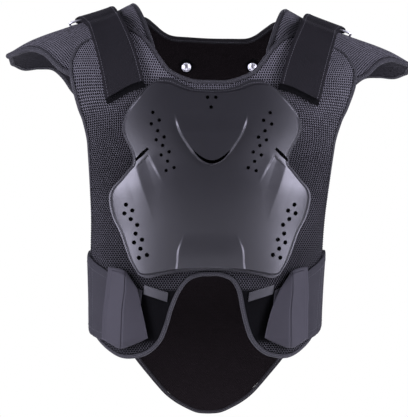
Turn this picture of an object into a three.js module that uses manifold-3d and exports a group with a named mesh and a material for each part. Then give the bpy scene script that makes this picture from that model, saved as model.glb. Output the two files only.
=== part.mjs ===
// A motorcycle armour vest: a padded front and back, a moulded chest plate, shoulder pads with caps
// over the arms, wide straps over the shoulders and a belt at each side.
// Millimetres. +Z is up, the front faces -Y and +X is the viewer's right, so left is -X.
// Every piece is formed round one body surface. Height 0 is where the vest sits on the shoulders.
import * as THREE from 'three';
import { mergeVertices } from 'three/addons/utils/BufferGeometryUtils.js';
import Module from 'manifold-3d';

const wasm = await Module();
wasm.setup();

// Body that the vest is formed round
const halfWidth = 162;
const frontDepth = 106;
const backDepth = 100;
const bodyLength = 573;
const shoulderSpan = 276;
const shoulderDrop = 87;
const shoulderRise = 110;
const sectionPower = 2.3;

// The vest hangs a little out of true, as worn
const sideLean = 5;
const backShift = 6;
const shoulderTilt = 6.5;

// Cloth, padding and tape
const backThickness = 8;
const padThickness = 6;
const frontThickness = 7;
const tapeWidth = 5.5;
const tapeProud = 0.4;
const tapeGap = 0.3;
const layerGap = 0.8;
const bendRoom = 1.0;

// Panels
const frontLength = 467;
const tailLength = 566;

// Chest plate
const plateTop = 123;
const plateLength = 229;
const plateHalfWidth = 133;
const plateThickness = 2.6;
const plateFlange = 4;
const plateDome = 15;
const plateShieldRise = 3.5;
const plateScoop = 4;
const holeRadius = 2.1;
const lowHoleRadius = 2.6;
const slotWidth = 3.4;

// Straps over the shoulders, with their loops
const strapWidth = 52;
const strapThickness = 2;
const strapTilt = 24;
const strapSkew = -3;
const loopWire = 1.6;
const loopSpan = 64;
const loopDepth = 13;
const hookShow = 6;
const hookLength = 38;

// Belt, side plates and waist straps
const beltThickness = 3.5;
const beltHeight = 100;
const beltFoot = 447;
const beltEnd = 94;
const beltTail = 50;
const guardHeight = 103;
const guardWidth = 58;
const guardCentre = 106;
const guardTop = 352;
const guardThickness = 3;
const guardCrease = 6;
const waistStrapWidth = 12;
const waistStrapThickness = 1.2;

// Snap studs on the back
const rivetRadius = 7;
const rivetShank = 2.5;
const rivetClearance = 0.4;
const rivetSpacing = 95;
const rivetShift = 15;
const rivetDown = 72;

// Levels of the layers above the body surface
const backOuter = backThickness;
const padInner = backOuter + tapeProud + layerGap + tapeProud + bendRoom;
const padOuter = padInner + padThickness;
const frontInner = padOuter + tapeProud + layerGap + tapeProud + 2 * bendRoom;
const frontOuter = frontInner + frontThickness;
const overFront = frontOuter + tapeProud + layerGap;
const overBack = backOuter + tapeProud + layerGap + bendRoom;
const overPad = padOuter + tapeProud + layerGap;
const guardInner = overFront + beltThickness + layerGap;

const degrees = Math.PI / 180;
const quarter = Math.PI / 2;
const { abs, sin, cos, sqrt, min, max, sign, hypot } = Math;
const mix = (a, b, t) => a + (b - a) * t;
const clamp = (t) => min(1, max(0, t));
const ease = (t) => clamp(t) * clamp(t) * (3 - 2 * clamp(t));

// A smooth curve through one column of a table, whose rows are placed by another column
function through(rows, place, column) {
  const xs = rows.map((row) => row[place]);
  const ys = rows.map((row) => row[column]);
  const last = rows.length - 1;
  const slope = (k) => {
    const before = max(0, k - 1);
    const after = min(last, k + 1);
    return (ys[after] - ys[before]) / (xs[after] - xs[before]);
  };
  return (x) => {
    const at = min(max(x, xs[0]), xs[last]);
    let k = 0;
    while (k < last - 1 && at > xs[k + 1]) k += 1;
    const span = xs[k + 1] - xs[k];
    const t = (at - xs[k]) / span;
    const rise = (1 - t) * (1 - t);
    return rise * (1 + 2 * t) * ys[k] + rise * t * span * slope(k)
      + t * t * (3 - 2 * t) * ys[k + 1] - t * t * (1 - t) * span * slope(k + 1);
  };
}

// Body sections: down is a share of bodyLength, width of halfWidth, front and frontSide of
// frontDepth, back and backSide of backDepth. The side depths are where a panel ends at the arm,
// and curl is the share of the width past which a section turns no further back.
const bodySections = [
  { down: 0.000, width: 1.235, front: 0.93, frontSide: 0.76, back: 0.84, backSide: 0.74, curl: 0.90 },
  { down: 0.105, width: 1.235, front: 0.96, frontSide: 0.76, back: 0.90, backSide: 0.74, curl: 0.90 },
  { down: 0.195, width: 1.215, front: 1.00, frontSide: 0.76, back: 0.97, backSide: 0.74, curl: 0.90 },
  { down: 0.262, width: 1.050, front: 1.01, frontSide: 0.69, back: 1.00, backSide: 0.70, curl: 0.93 },
  { down: 0.325, width: 0.950, front: 0.98, frontSide: 0.57, back: 0.99, backSide: 0.64, curl: 0.97 },
  { down: 0.480, width: 0.834, front: 0.92, frontSide: 0.32, back: 0.90, backSide: 0.48, curl: 1.00 },
  { down: 0.623, width: 0.802, front: 0.90, frontSide: 0.20, back: 0.86, backSide: 0.42, curl: 1.00 },
  { down: 0.750, width: 0.785, front: 0.88, frontSide: 0.16, back: 0.90, backSide: 0.42, curl: 1.00 },
  { down: 1.000, width: 0.773, front: 0.86, frontSide: 0.16, back: 0.98, backSide: 0.42, curl: 1.00 },
];
const section = Object.fromEntries(
  Object.keys(bodySections[0]).map((key) => [key, through(bodySections, 'down', key)]),
);

// Shoulder line: out is a share of shoulderSpan, drop of shoulderDrop
const shoulderLine = [
  { out: 0.00, drop: -0.07 },
  { out: 0.20, drop: 0.02 },
  { out: 0.35, drop: 0.13 },
  { out: 0.47, drop: 0.31 },
  { out: 0.67, drop: 0.53 },
  { out: 0.87, drop: 0.76 },
  { out: 1.00, drop: 1.00 },
];
const shoulderAt = through(shoulderLine, 'out', 'drop');
const ridge = (x) => -shoulderDrop * shoulderAt(abs(x) / shoulderSpan);

// Half depth of the body at a share of its half width, in front (-1) or behind (+1)
function depthAt(face, turn, up) {
  const down = -up / bodyLength;
  const deep = face < 0 ? frontDepth * section.front(down) : backDepth * section.back(down);
  const side = face < 0 ? frontDepth * section.frontSide(down) : backDepth * section.backSide(down);
  const out = min(abs(sin(turn)), section.curl(down));
  const bow = sign(cos(turn)) * max(0, 1 - out ** sectionPower) ** (1 / sectionPower);
  return side + (deep - side) * bow;
}

const widthAt = (up) => halfWidth * section.width(-up / bodyLength);

// Point of the body at a turn from the centre line, 90 degrees being the side, and a height
function bodyPoint(face, turn, up) {
  const x = widthAt(up) * sin(turn);
  const rise = max(0, 1 + (up - ridge(x)) / shoulderRise);
  const closing = sqrt(max(0, 1 - rise * rise));
  return new THREE.Vector3(x, face * depthAt(face, turn, up) * closing, up);
}

// Point of the shoulder at a distance out and an angle over it, 0 in front, 90 on the ridge
function shoulderPoint(x, angle) {
  const up = ridge(x) - shoulderRise + shoulderRise * sin(angle);
  const share = max(-1, min(1, x / widthAt(up)));
  const face = cos(angle) > 0 ? -1 : 1;
  return new THREE.Vector3(x, face * depthAt(face, Math.asin(share), up) * abs(cos(angle)), up);
}

// Outward normal of a surface of two parameters, from small steps along each
function normalOf(surface, a, b, stepA, stepB) {
  const alongA = surface(a + stepA, b).sub(surface(a - stepA, b));
  const alongB = surface(a, b + stepB).sub(surface(a, b - stepB));
  return alongA.cross(alongB).normalize();
}

function onBody(face, turn, up, lift) {
  const surface = (a, b) => bodyPoint(face, a, b);
  const normal = normalOf(surface, turn, up, 0.02, 1).multiplyScalar(-face);
  return bodyPoint(face, turn, up).addScaledVector(normal, lift);
}

function onShoulder(x, angle, lift) {
  const normal = normalOf(shoulderPoint, x, angle, 1, 0.02);
  return shoulderPoint(x, angle).addScaledVector(normal, lift);
}

// Point in front of or behind the body at a true distance out, whatever the lift
function atWidth(face, x, up, lift) {
  let turn = Math.asin(max(-1, min(1, x / (widthAt(up) + lift))));
  for (let pass = 0; pass < 6; pass += 1) {
    const miss = x - onBody(face, turn, up, lift).x;
    turn = max(-quarter, min(quarter, turn + miss / (widthAt(up) + lift)));
  }
  return onBody(face, turn, up, lift);
}

// The lean of a worn vest, applied to every point of every piece
const leanTable = [
  { down: 0.10, lean: 0.9 },
  { down: 0.20, lean: 0.9 },
  { down: 0.33, lean: 0.5 },
  { down: 0.48, lean: 0.0 },
  { down: 0.75, lean: -1.0 },
  { down: 1.00, lean: -1.0 },
];
const leanAt = through(leanTable, 'down', 'lean');

function settle(point) {
  const low = ease((-point.z / bodyLength - 0.62) / 0.10);
  const side = max(low, min(1, (point.x / halfWidth) ** 2));
  const behind = ease(0.5 + point.y / backDepth);
  const lean = sideLean * leanAt(-point.z / bodyLength) * side * (1 - behind) + backShift * behind;
  const high = ease((point.z + 1.5 * shoulderRise) / shoulderRise);
  const across = max(-1, min(1, point.x / (1.2 * halfWidth)));
  return new THREE.Vector3(point.x + lean, point.y, point.z - shoulderTilt * across * high);
}

// Closed geometry from points and triangles, its faces turned outward
function closedGeometry(points, triangles) {
  const settled = points.map(settle);
  let volume = 0;
  for (const [a, b, c] of triangles) {
    volume += settled[a].dot(new THREE.Vector3().crossVectors(settled[b], settled[c]));
  }
  const faces = volume < 0 ? triangles.map(([a, b, c]) => [a, c, b]) : triangles;
  const geometry = new THREE.BufferGeometry();
  geometry.setAttribute('position', new THREE.Float32BufferAttribute(settled.flatMap((p) => p.toArray()), 3));
  geometry.setIndex(faces.flat());
  return geometry;
}

// Grid of points, one row of the array for each column of the sheet
function gridOf(columns, rows, place) {
  return Array.from({ length: columns + 1 }, (_, i) => (
    Array.from({ length: rows + 1 }, (__, j) => place(i / columns, j / rows))
  ));
}

// Border of a grid, once round, as pairs of indices
function borderOf(grid) {
  const columns = grid.length - 1;
  const rows = grid[0].length - 1;
  const border = [];
  for (let i = 0; i < columns; i += 1) border.push([i, 0]);
  for (let j = 0; j < rows; j += 1) border.push([columns, j]);
  for (let i = columns; i > 0; i -= 1) border.push([i, rows]);
  for (let j = rows; j > 0; j -= 1) border.push([0, j]);
  return border;
}

// Closed sheet between an inner and an outer grid
function sheetBetween(inner, outer) {
  const columns = inner.length - 1;
  const rows = inner[0].length - 1;
  const width = rows + 1;
  const count = (columns + 1) * width;
  const index = (i, j) => i * width + j;
  const triangles = [];
  for (let i = 0; i < columns; i += 1) {
    for (let j = 0; j < rows; j += 1) {
      const [a, b, c, d] = [index(i, j), index(i + 1, j), index(i + 1, j + 1), index(i, j + 1)];
      triangles.push([a, b, c], [a, c, d]);
      triangles.push([count + a, count + c, count + b], [count + a, count + d, count + c]);
    }
  }
  const border = borderOf(inner);
  border.forEach(([i, j], k) => {
    const [m, n] = border[(k + 1) % border.length];
    const [a, b] = [index(i, j), index(m, n)];
    triangles.push([a, count + a, count + b], [a, count + b, b]);
  });
  return closedGeometry([...inner.flat(), ...outer.flat()], triangles);
}

// Sheet of one thickness on one side of a grid, along the grid's own normals
function thicken(grid, thickness) {
  const columns = grid.length - 1;
  const rows = grid[0].length - 1;
  const outer = grid.map((line, i) => line.map((point, j) => {
    const alongA = grid[min(columns, i + 1)][j].clone().sub(grid[max(0, i - 1)][j]);
    const alongB = grid[i][min(rows, j + 1)].clone().sub(grid[i][max(0, j - 1)]);
    return point.clone().addScaledVector(alongA.cross(alongB).normalize(), thickness);
  }));
  return sheetBetween(grid, outer);
}

// A closed section carried once round a closed line of stations
function sweepRound(stations) {
  const sides = stations[0].length;
  const triangles = [];
  stations.forEach((_, k) => {
    const next = (k + 1) % stations.length;
    for (let m = 0; m < sides; m += 1) {
      const n = (m + 1) % sides;
      const [a, b, c, d] = [k * sides + m, next * sides + m, next * sides + n, k * sides + n];
      triangles.push([a, b, d], [b, c, d]);
    }
  });
  return closedGeometry(stations.flat(), triangles);
}

// Tape round the border of a sheet: a flat bar that follows the edge, a little prouder than it
function tapeRound(inner, outer, width) {
  const border = borderOf(inner);
  const rim = border.map(([i, j]) => ({
    centre: inner[i][j].clone().add(outer[i][j]).multiplyScalar(0.5),
    normal: outer[i][j].clone().sub(inner[i][j]).normalize(),
    half: outer[i][j].distanceTo(inner[i][j]) / 2 + tapeProud,
  }));
  const outwardOf = (from, to, normal) => {
    return to.centre.clone().sub(from.centre).normalize().cross(normal).normalize();
  };
  const turning = rim.reduce((sum, here, k) => {
    const before = rim[(k + rim.length - 1) % rim.length];
    const after = rim[(k + 1) % rim.length];
    const a = outwardOf(before, here, here.normal);
    const b = outwardOf(here, after, here.normal);
    return sum + a.clone().cross(b).dot(here.normal);
  }, 0);
  const facing = turning < 0 ? -1 : 1;
  const stations = rim.map((here, k) => {
    const before = rim[(k + rim.length - 1) % rim.length];
    const after = rim[(k + 1) % rim.length];
    const a = outwardOf(before, here, here.normal).multiplyScalar(facing);
    const b = outwardOf(here, after, here.normal).multiplyScalar(facing);
    const out = a.clone().add(b).normalize();
    const mitre = 1 / max(0.7, out.dot(a));
    const place = (away, high) => here.centre.clone()
      .addScaledVector(out, away * mitre)
      .addScaledVector(here.normal, high * here.half);
    return [
      place(tapeGap, -1),
      place(tapeGap + width, -0.72),
      place(tapeGap + width, 0.72),
      place(tapeGap, 1),
    ];
  });
  return sweepRound(stations);
}

// Joining and cutting of closed solids
function solidOf(geometry) {
  const bare = geometry.clone();
  bare.deleteAttribute('normal');
  bare.deleteAttribute('uv');
  const merged = mergeVertices(bare, 0.0001);
  return new wasm.Manifold(new wasm.Mesh({
    numProp: 3,
    vertProperties: new Float32Array(merged.attributes.position.array),
    triVerts: new Uint32Array(merged.index.array),
  }));
}

function geometryOf(solid) {
  const mesh = solid.getMesh();
  const geometry = new THREE.BufferGeometry();
  geometry.setAttribute('position', new THREE.BufferAttribute(mesh.vertProperties, 3));
  geometry.setIndex(new THREE.BufferAttribute(mesh.triVerts, 1));
  return geometry;
}

function cutFrom(geometry, cutters) {
  const tools = cutters.map(solidOf);
  const joined = tools.reduce((sum, tool) => sum.add(tool));
  return geometryOf(solidOf(geometry).subtract(joined));
}

// A round bar from one point to another
function barBetween(from, to, radius, sides) {
  const axis = to.clone().sub(from);
  const bar = new THREE.CylinderGeometry(radius, radius, axis.length(), sides);
  const turn = new THREE.Quaternion().setFromUnitVectors(new THREE.Vector3(0, 1, 0), axis.clone().normalize());
  bar.applyQuaternion(turn);
  bar.translate(...from.clone().add(to).multiplyScalar(0.5).toArray());
  return bar;
}

const vest = new THREE.Group();

function add(name, geometry, finish) {
  geometry.computeVertexNormals();
  const material = new THREE.MeshStandardMaterial(finish);
  const mesh = new THREE.Mesh(geometry, material);
  mesh.name = name;
  vest.add(mesh);
}

const airMesh = { color: 0x2b2c31, roughness: 0.9, metalness: 0 };
const tape = { color: 0x1d1e21, roughness: 0.8, metalness: 0 };
const backCloth = { color: 0x17161a, roughness: 0.9, metalness: 0 };
const moulded = { color: 0x2c2d32, roughness: 0.4, metalness: 0 };
const guardFinish = { color: 0x34363f, roughness: 0.55, metalness: 0 };
const webbing = { color: 0x2a2b2f, roughness: 0.95, metalness: 0 };
const hookCloth = { color: 0x131316, roughness: 0.95, metalness: 0 };
const satin = { color: 0x8d8f95, roughness: 0.5, metalness: 0 };
const metal = { color: 0xb9bbbf, roughness: 0.25, metalness: 1 };

// A panel is drawn by two lines, its top and its foot, from the centre to the side. Each row of
// its table is a place on both: topOut and footOut are shares of the half turn's sine, topDrop is
// the drop below the shoulder line as a share of shoulderRise, footDown a share of the length.
// Rows crowd towards the top, where the panel bends over the shoulder.
const rowCrowding = 1.7;

function panelGrid(face, table, length, columns, rows, lift) {
  const numbered = table.map((row, step) => ({ ...row, step: step / (table.length - 1) }));
  const column = Object.fromEntries(
    Object.keys(table[0]).map((key) => [key, through(numbered, 'step', key)]),
  );
  return gridOf(columns, rows, (a, b) => {
    const across = 2 * a - 1;
    const step = abs(across);
    const topOut = clamp(column.topOut(step));
    const footOut = clamp(column.footOut(step));
    const topUp = ridge(topOut * widthAt(0)) - shoulderRise * column.topDrop(step);
    const footUp = -length * column.footDown(step);
    const down = b ** rowCrowding;
    const turn = mix(Math.asin(topOut), Math.asin(footOut), down) * sign(across);
    return onBody(face, turn, mix(topUp, footUp, down), lift);
  });
}

const frontTable = [
  { topOut: 0.000, topDrop: 1.100, footOut: 0.000, footDown: 0.765 },
  { topOut: 0.108, topDrop: 1.070, footOut: 0.098, footDown: 0.766 },
  { topOut: 0.205, topDrop: 0.995, footOut: 0.218, footDown: 0.780 },
  { topOut: 0.283, topDrop: 0.910, footOut: 0.302, footDown: 0.815 },
  { topOut: 0.342, topDrop: 0.775, footOut: 0.358, footDown: 0.868 },
  { topOut: 0.390, topDrop: 0.645, footOut: 0.396, footDown: 0.911 },
  { topOut: 0.432, topDrop: 0.545, footOut: 0.450, footDown: 0.953 },
  { topOut: 0.475, topDrop: 0.465, footOut: 0.540, footDown: 0.983 },
  { topOut: 0.522, topDrop: 0.410, footOut: 0.640, footDown: 0.997 },
  { topOut: 0.580, topDrop: 0.380, footOut: 0.750, footDown: 1.000 },
  { topOut: 0.700, topDrop: 0.350, footOut: 0.840, footDown: 0.987 },
  { topOut: 0.820, topDrop: 0.370, footOut: 0.935, footDown: 0.958 },
  { topOut: 0.885, topDrop: 0.500, footOut: 1.000, footDown: 0.920 },
];

const backTable = [
  { topOut: 0.000, topDrop: 0.420, footOut: 0.000, footDown: 1.000 },
  { topOut: 0.135, topDrop: 0.385, footOut: 0.130, footDown: 0.997 },
  { topOut: 0.260, topDrop: 0.345, footOut: 0.266, footDown: 0.983 },
  { topOut: 0.335, topDrop: 0.275, footOut: 0.370, footDown: 0.969 },
  { topOut: 0.400, topDrop: 0.170, footOut: 0.467, footDown: 0.951 },
  { topOut: 0.455, topDrop: 0.085, footOut: 0.557, footDown: 0.928 },
  { topOut: 0.510, topDrop: 0.055, footOut: 0.645, footDown: 0.903 },
  { topOut: 0.585, topDrop: 0.050, footOut: 0.740, footDown: 0.875 },
  { topOut: 0.700, topDrop: 0.065, footOut: 0.828, footDown: 0.847 },
  { topOut: 0.800, topDrop: 0.110, footOut: 0.922, footDown: 0.817 },
  { topOut: 0.870, topDrop: 0.280, footOut: 1.000, footDown: 0.775 },
];

// Front panel and its tape
function buildFront() {
  const size = [frontTable, frontLength, 36, 9];
  const inner = panelGrid(-1, ...size, frontInner);
  const outer = panelGrid(-1, ...size, frontOuter);
  add('front_panel', sheetBetween(inner, outer), airMesh);
  add('front_binding', tapeRound(inner, outer, tapeWidth), tape);
}

// Where a snap stud passes through the back panel near the neck, and its axis
function rivetSeats(panel) {
  const cloth = new THREE.Mesh(panel, new THREE.MeshBasicMaterial({ side: THREE.DoubleSide }));
  const backward = new THREE.Vector3(0, 1, 0);
  return [-1, 1].map((side) => {
    const start = new THREE.Vector3(side * rivetSpacing / 2 + rivetShift + backShift, 0, -rivetDown);
    const hits = new THREE.Raycaster(start, backward).intersectObject(cloth);
    const axis = hits[0].face.normal.clone();
    if (axis.y < 0) axis.negate();
    return { name: side < 0 ? 'rivet_left' : 'rivet_right', seat: hits[0].point, axis };
  });
}

// Snap stud: a dome inside the vest and a plain cap outside
function buildRivet({ name, seat, axis }) {
  const sides = 14;
  const clear = layerGap;
  const cap = 1.2;
  const far = backThickness + clear;
  const profile = [
    [0, -clear - 0.49 * rivetRadius],
    [0.45 * rivetRadius, -clear - 0.42 * rivetRadius],
    [0.78 * rivetRadius, -clear - 0.27 * rivetRadius],
    [rivetRadius, -clear - 0.09 * rivetRadius],
    [rivetRadius, -clear],
    [rivetShank, -clear],
    [rivetShank, far],
    [0.7 * rivetRadius, far],
    [0.6 * rivetRadius, far + cap],
    [0, far + cap],
  ].map(([r, h]) => new THREE.Vector2(r, h));
  const stud = new THREE.LatheGeometry(profile, sides);
  stud.applyQuaternion(new THREE.Quaternion().setFromUnitVectors(new THREE.Vector3(0, 1, 0), axis));
  stud.translate(...seat.toArray());
  add(name, geometryOf(solidOf(stud)), metal);
}

function buildBack() {
  const size = [backTable, tailLength, 30, 9];
  const inner = panelGrid(1, ...size, 0);
  const outer = panelGrid(1, ...size, backOuter);
  const panel = sheetBetween(inner, outer);
  const seats = rivetSeats(panel);
  const reach = 2 * backThickness;
  const drills = seats.map(({ seat, axis }) => {
    const before = seat.clone().addScaledVector(axis, -reach);
    const after = seat.clone().addScaledVector(axis, 2 * reach);
    return barBetween(before, after, rivetShank + rivetClearance, 12);
  });
  add('back_panel', cutFrom(panel, drills), backCloth);
  add('back_binding', tapeRound(inner, outer, tapeWidth), tape);
  seats.forEach(buildRivet);
}

// Shoulder pad: out is a share of shoulderSpan, front and rear are the angles over the shoulder
// where the pad ends, in degrees
const padTable = [
  { step: 0.00, out: 0.374, front: 22, rear: 156 },
  { step: 0.10, out: 0.445, front: 20, rear: 159 },
  { step: 0.22, out: 0.530, front: 20, rear: 161 },
  { step: 0.36, out: 0.630, front: 25, rear: 164 },
  { step: 0.46, out: 0.690, front: 29, rear: 156 },
  { step: 0.56, out: 0.738, front: 37, rear: 144 },
  { step: 0.66, out: 0.790, front: 50, rear: 134 },
  { step: 0.78, out: 0.860, front: 63, rear: 128 },
  { step: 0.89, out: 0.925, front: 70, rear: 122 },
  { step: 1.00, out: 0.970, front: 80, rear: 109 },
];
const padOut = through(padTable, 'step', 'out');
const padFront = through(padTable, 'step', 'front');
const padRear = through(padTable, 'step', 'rear');
const neckFlare = 27;

function padGrid(side, lift) {
  return gridOf(12, 9, (a, b) => {
    const angle = mix(padFront(a), padRear(a), b);
    const forward = max(0, (90 - angle) / 68);
    const x = padOut(a) * shoulderSpan - neckFlare * forward ** 1.3 * (1 - a) ** 4;
    return onShoulder(side * x, angle * degrees, lift);
  });
}

function buildPad(side, word) {
  const inner = padGrid(side, padInner);
  const outer = padGrid(side, padOuter);
  add(`shoulder_pad_${word}`, sheetBetween(inner, outer), airMesh);
  add(`shoulder_binding_${word}`, tapeRound(inner, outer, tapeWidth), tape);
}

// Shoulder strap. Its line runs from strapTopOut on the ridge to strapFootOut at its free end.
const strapTopOut = 152;
const strapFootOut = 110;
const strapFootAngle = 3;
const loopAngle = 97;
const strapLine = (angle) => mix(strapFootOut, strapTopOut, (angle - strapFootAngle) / (90 - strapFootAngle));

// Lift of what lies under the strap: the front panel up to panelEndAngle, the pad at the ridge
const panelEndAngle = 45;
const underStrap = (angle) => mix(overFront, overPad, ease((angle - panelEndAngle) / 20));

function bandPoint(side, angle, across, lift) {
  const slant = strapWidth / 2 * sin(strapSkew * degrees) / shoulderRise / degrees;
  const lean = min(1, max(0, (90 - angle) / 30));
  const x = strapLine(angle) + across * strapWidth / 2 * cos(strapTilt * degrees * lean);
  return onShoulder(side * x, (angle - across * slant * lean) * degrees, lift);
}

// The loop's bars lie at this lift, with one layer of strap below and one above
const barLift = overPad + strapThickness + layerGap + loopWire;
const barAngle = loopDepth / 2 / (shoulderRise * 0.62) / degrees;

// A band that comes up from a lower end, turns round a bar and goes back over itself
function foldedBand(side, lowEnd, foldAngle, freeEnd, width) {
  const turnRadius = loopWire + layerGap / 2;
  const away = sign(foldAngle - lowEnd);
  const perDegree = shoulderRise * 0.62 * degrees;
  const lower = Array.from({ length: 10 }, (_, k) => {
    const angle = mix(lowEnd, foldAngle, k / 9);
    return { angle, lift: underStrap(angle) + strapThickness };
  });
  const bend = [30, 90, 150].map((turn) => ({
    angle: foldAngle + away * turnRadius * sin(turn * degrees) / perDegree,
    lift: barLift - turnRadius * cos(turn * degrees),
  }));
  const upper = Array.from({ length: 11 }, (_, k) => {
    const angle = mix(foldAngle, freeEnd, k / 10);
    const near = ease(1 - abs(angle - foldAngle) / 22);
    const lying = underStrap(angle) + strapThickness + 3 * layerGap;
    return { angle, lift: mix(lying, barLift + turnRadius, near) };
  });
  const line = [...lower, ...bend, ...upper];
  return gridOf(line.length - 1, 2, (a, b) => {
    const { angle, lift } = line[Math.round(a * (line.length - 1))];
    return bandPoint(side, angle, width * (2 * b - 1), lift);
  });
}

function buildStrap(side, word) {
  const hookTop = strapFootAngle + hookLength / shoulderRise / degrees;
  const seam = layerGap / shoulderRise / degrees;
  const front = loopAngle - barAngle;
  const grid = foldedBand(side, hookTop + seam, front, strapFootAngle, 1);
  const flipped = side > 0 ? grid : grid.map((line) => [...line].reverse());
  add(`shoulder_strap_${word}`, thicken(flipped, strapThickness), webbing);
  const hookFoot = strapFootAngle - hookShow / shoulderRise / degrees;
  const patch = (lift) => gridOf(5, 2, (a, b) => (
    bandPoint(side, mix(hookFoot, hookTop, a), 2 * b - 1, underStrap(strapFootAngle) + lift)
  ));
  add(`strap_hook_${word}`, sheetBetween(patch(0), patch(strapThickness)), hookCloth);
}

// Rectangular wire ring on the ridge, and the tab that ties it to the pad
function buildLoop(side, word) {
  const centre = strapLine(loopAngle);
  const stations = Array.from({ length: 20 }, (_, k) => {
    const turn = k / 20 * 2 * Math.PI;
    const along = sign(cos(turn)) * abs(cos(turn)) ** 0.3 * (loopSpan / 2);
    const over = sign(sin(turn)) * abs(sin(turn)) ** 0.3 * (loopDepth / 2);
    return { along, over, turn };
  });
  const point = ({ along, over }, lift) => {
    const angle = loopAngle + over / (loopDepth / 2) * barAngle;
    return onShoulder(side * (centre + along), angle * degrees, lift);
  };
  const rings = stations.map((here, k) => {
    const before = point(stations[(k + 19) % 20], barLift);
    const after = point(stations[(k + 1) % 20], barLift);
    const middle = point(here, barLift);
    const normal = point(here, barLift + 1).sub(middle).normalize();
    const forward = after.sub(before).normalize();
    const out = forward.clone().cross(normal).normalize();
    return Array.from({ length: 6 }, (_, m) => {
      const round = m / 6 * 2 * Math.PI;
      return middle.clone()
        .addScaledVector(out, loopWire * cos(round))
        .addScaledVector(normal, loopWire * sin(round));
    });
  });
  add(`strap_loop_${word}`, sweepRound(rings), metal);
}

// Tab behind the ridge: it comes up the pad, turns round the loop's rear bar and goes back
const tabWidth = 0.72;
const tabLength = 40;

function buildTab(side, word) {
  const reach = tabLength / shoulderRise / degrees;
  const rear = loopAngle + barAngle;
  const grid = foldedBand(side, rear + reach, rear, rear + reach * 0.8, tabWidth);
  const flipped = side > 0 ? grid.map((line) => [...line].reverse()) : grid;
  add(`loop_tab_${word}`, thicken(flipped, strapThickness), webbing);
}

// Chest plate outline: half is the share of plateHalfWidth at a share down of plateLength, rise
// and fall are how far its top and foot stand out of level at a share across
const plateSides = [
  { down: 0.000, half: 0.500 },
  { down: 0.030, half: 0.640 },
  { down: 0.070, half: 0.740 },
  { down: 0.120, half: 0.825 },
  { down: 0.180, half: 0.856 },
  { down: 0.245, half: 0.827 },
  { down: 0.330, half: 0.778 },
  { down: 0.390, half: 0.770 },
  { down: 0.430, half: 0.827 },
  { down: 0.470, half: 0.885 },
  { down: 0.525, half: 0.975 },
  { down: 0.580, half: 1.000 },
  { down: 0.690, half: 0.963 },
  { down: 0.790, half: 0.885 },
  { down: 0.930, half: 0.788 },
  { down: 1.000, half: 0.700 },
];
const plateEnds = [
  { across: 0.00, rise: 0.000, fall: 0.000 },
  { across: 0.30, rise: 0.006, fall: 0.006 },
  { across: 0.51, rise: 0.024, fall: 0.015 },
  { across: 0.70, rise: 0.054, fall: 0.028 },
  { across: 0.88, rise: 0.060, fall: 0.042 },
  { across: 1.00, rise: 0.056, fall: 0.025 },
];
const plateHalf = through(plateSides, 'down', 'half');
const plateRise = through(plateEnds, 'across', 'rise');
const plateFall = through(plateEnds, 'across', 'fall');

// Relief of the plate above its stitched flange, at a true place on it
const shieldTable = [
  { down: 0.03, half: 0.40 },
  { down: 0.15, half: 0.36 },
  { down: 0.34, half: 0.19 },
  { down: 0.40, half: 0.06 },
];
const shieldHalf = through(shieldTable, 'down', 'half');
const scoop = { across: 0.58, down: 0.50, wide: 0.13, tall: 0.19, slant: 0.55 };

function plateRelief(across, down) {
  const half = plateHalf(down);
  const inward = min((half - abs(across)) * plateHalfWidth, down * plateLength, (1 - down) * plateLength);
  const body = ease((inward - plateFlange) / plateFlange);
  const keel = plateDome * max(0, 1 - (across / half) ** 2) * sin(Math.PI * clamp(0.15 + 0.75 * down));
  const inShield = ease((shieldHalf(down) - abs(across)) * plateHalfWidth / 5) * ease((0.42 - down) / 0.04);
  const slanted = abs(across) - scoop.across + scoop.slant * (down - scoop.down) * 0.4;
  const away = hypot(slanted / scoop.wide, (down - scoop.down) / scoop.tall);
  const hollow = ease(1.25 * (1 - away));
  return body * (2 + keel + plateShieldRise * inShield - plateScoop * hollow);
}

function platePoint(across, down, lift) {
  return atWidth(-1, across * plateHalfWidth, -plateTop - down * plateLength, overFront + lift);
}

function plateGrid(lift) {
  return gridOf(16, 16, (a, b) => {
    const s = 2 * a - 1;
    const top = plateRise(abs(s)) * max(0, 1 - b / 0.25) ** 2;
    const foot = plateFall(abs(s)) * max(0, 1 - (1 - b) / 0.25) ** 2;
    const across = s * plateHalf(b);
    return platePoint(across, b - top + foot, lift + plateRelief(across, b));
  });
}

// Vent holes go down the plate in a zigzag of threes: two steps in and one out
const holeStep = { across: 0.0635, down: 0.0365 };
const holeBack = { across: -0.078, down: 0.0158 };
const holeRuns = [
  { across: -0.570, down: 0.113, radius: holeRadius, missing: -1 },
  { across: -0.828, down: 0.620, radius: lowHoleRadius, missing: 5 },
];

function holePlaces(run) {
  const places = [];
  let { across, down } = run;
  for (let k = 0; k < 12; k += 1) {
    if (k !== run.missing) places.push({ across, down });
    const step = k % 3 === 1 ? holeBack : holeStep;
    across += step.across;
    down += step.down;
  }
  return places;
}

function drillAt(across, down, radius) {
  const reach = 14;
  const place = settle(platePoint(across, down, plateRelief(across, down)));
  const above = settle(platePoint(across, down, plateRelief(across, down) + reach));
  const below = place.clone().multiplyScalar(2).sub(above);
  return barBetween(below, above, radius, 6);
}

// A slot through the plate, along an arc drawn from the front
function slotAlong(curve, width) {
  const half = width / 2;
  const count = 8;
  const outline = [];
  for (const way of [1, -1]) {
    for (let k = 0; k <= count; k += 1) {
      const t = way > 0 ? k / count : 1 - k / count;
      const at = curve.getPoint(t);
      const along = curve.getTangent(t);
      const taper = half * sqrt(max(0.05, sin(Math.PI * t)));
      outline.push(new THREE.Vector2(at.x - way * along.y * taper, at.y + way * along.x * taper));
    }
  }
  const depth = 2 * frontDepth;
  const slot = new THREE.ExtrudeGeometry(new THREE.Shape(outline), { depth, bevelEnabled: false });
  slot.rotateX(quarter);
  return slot;
}

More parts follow.
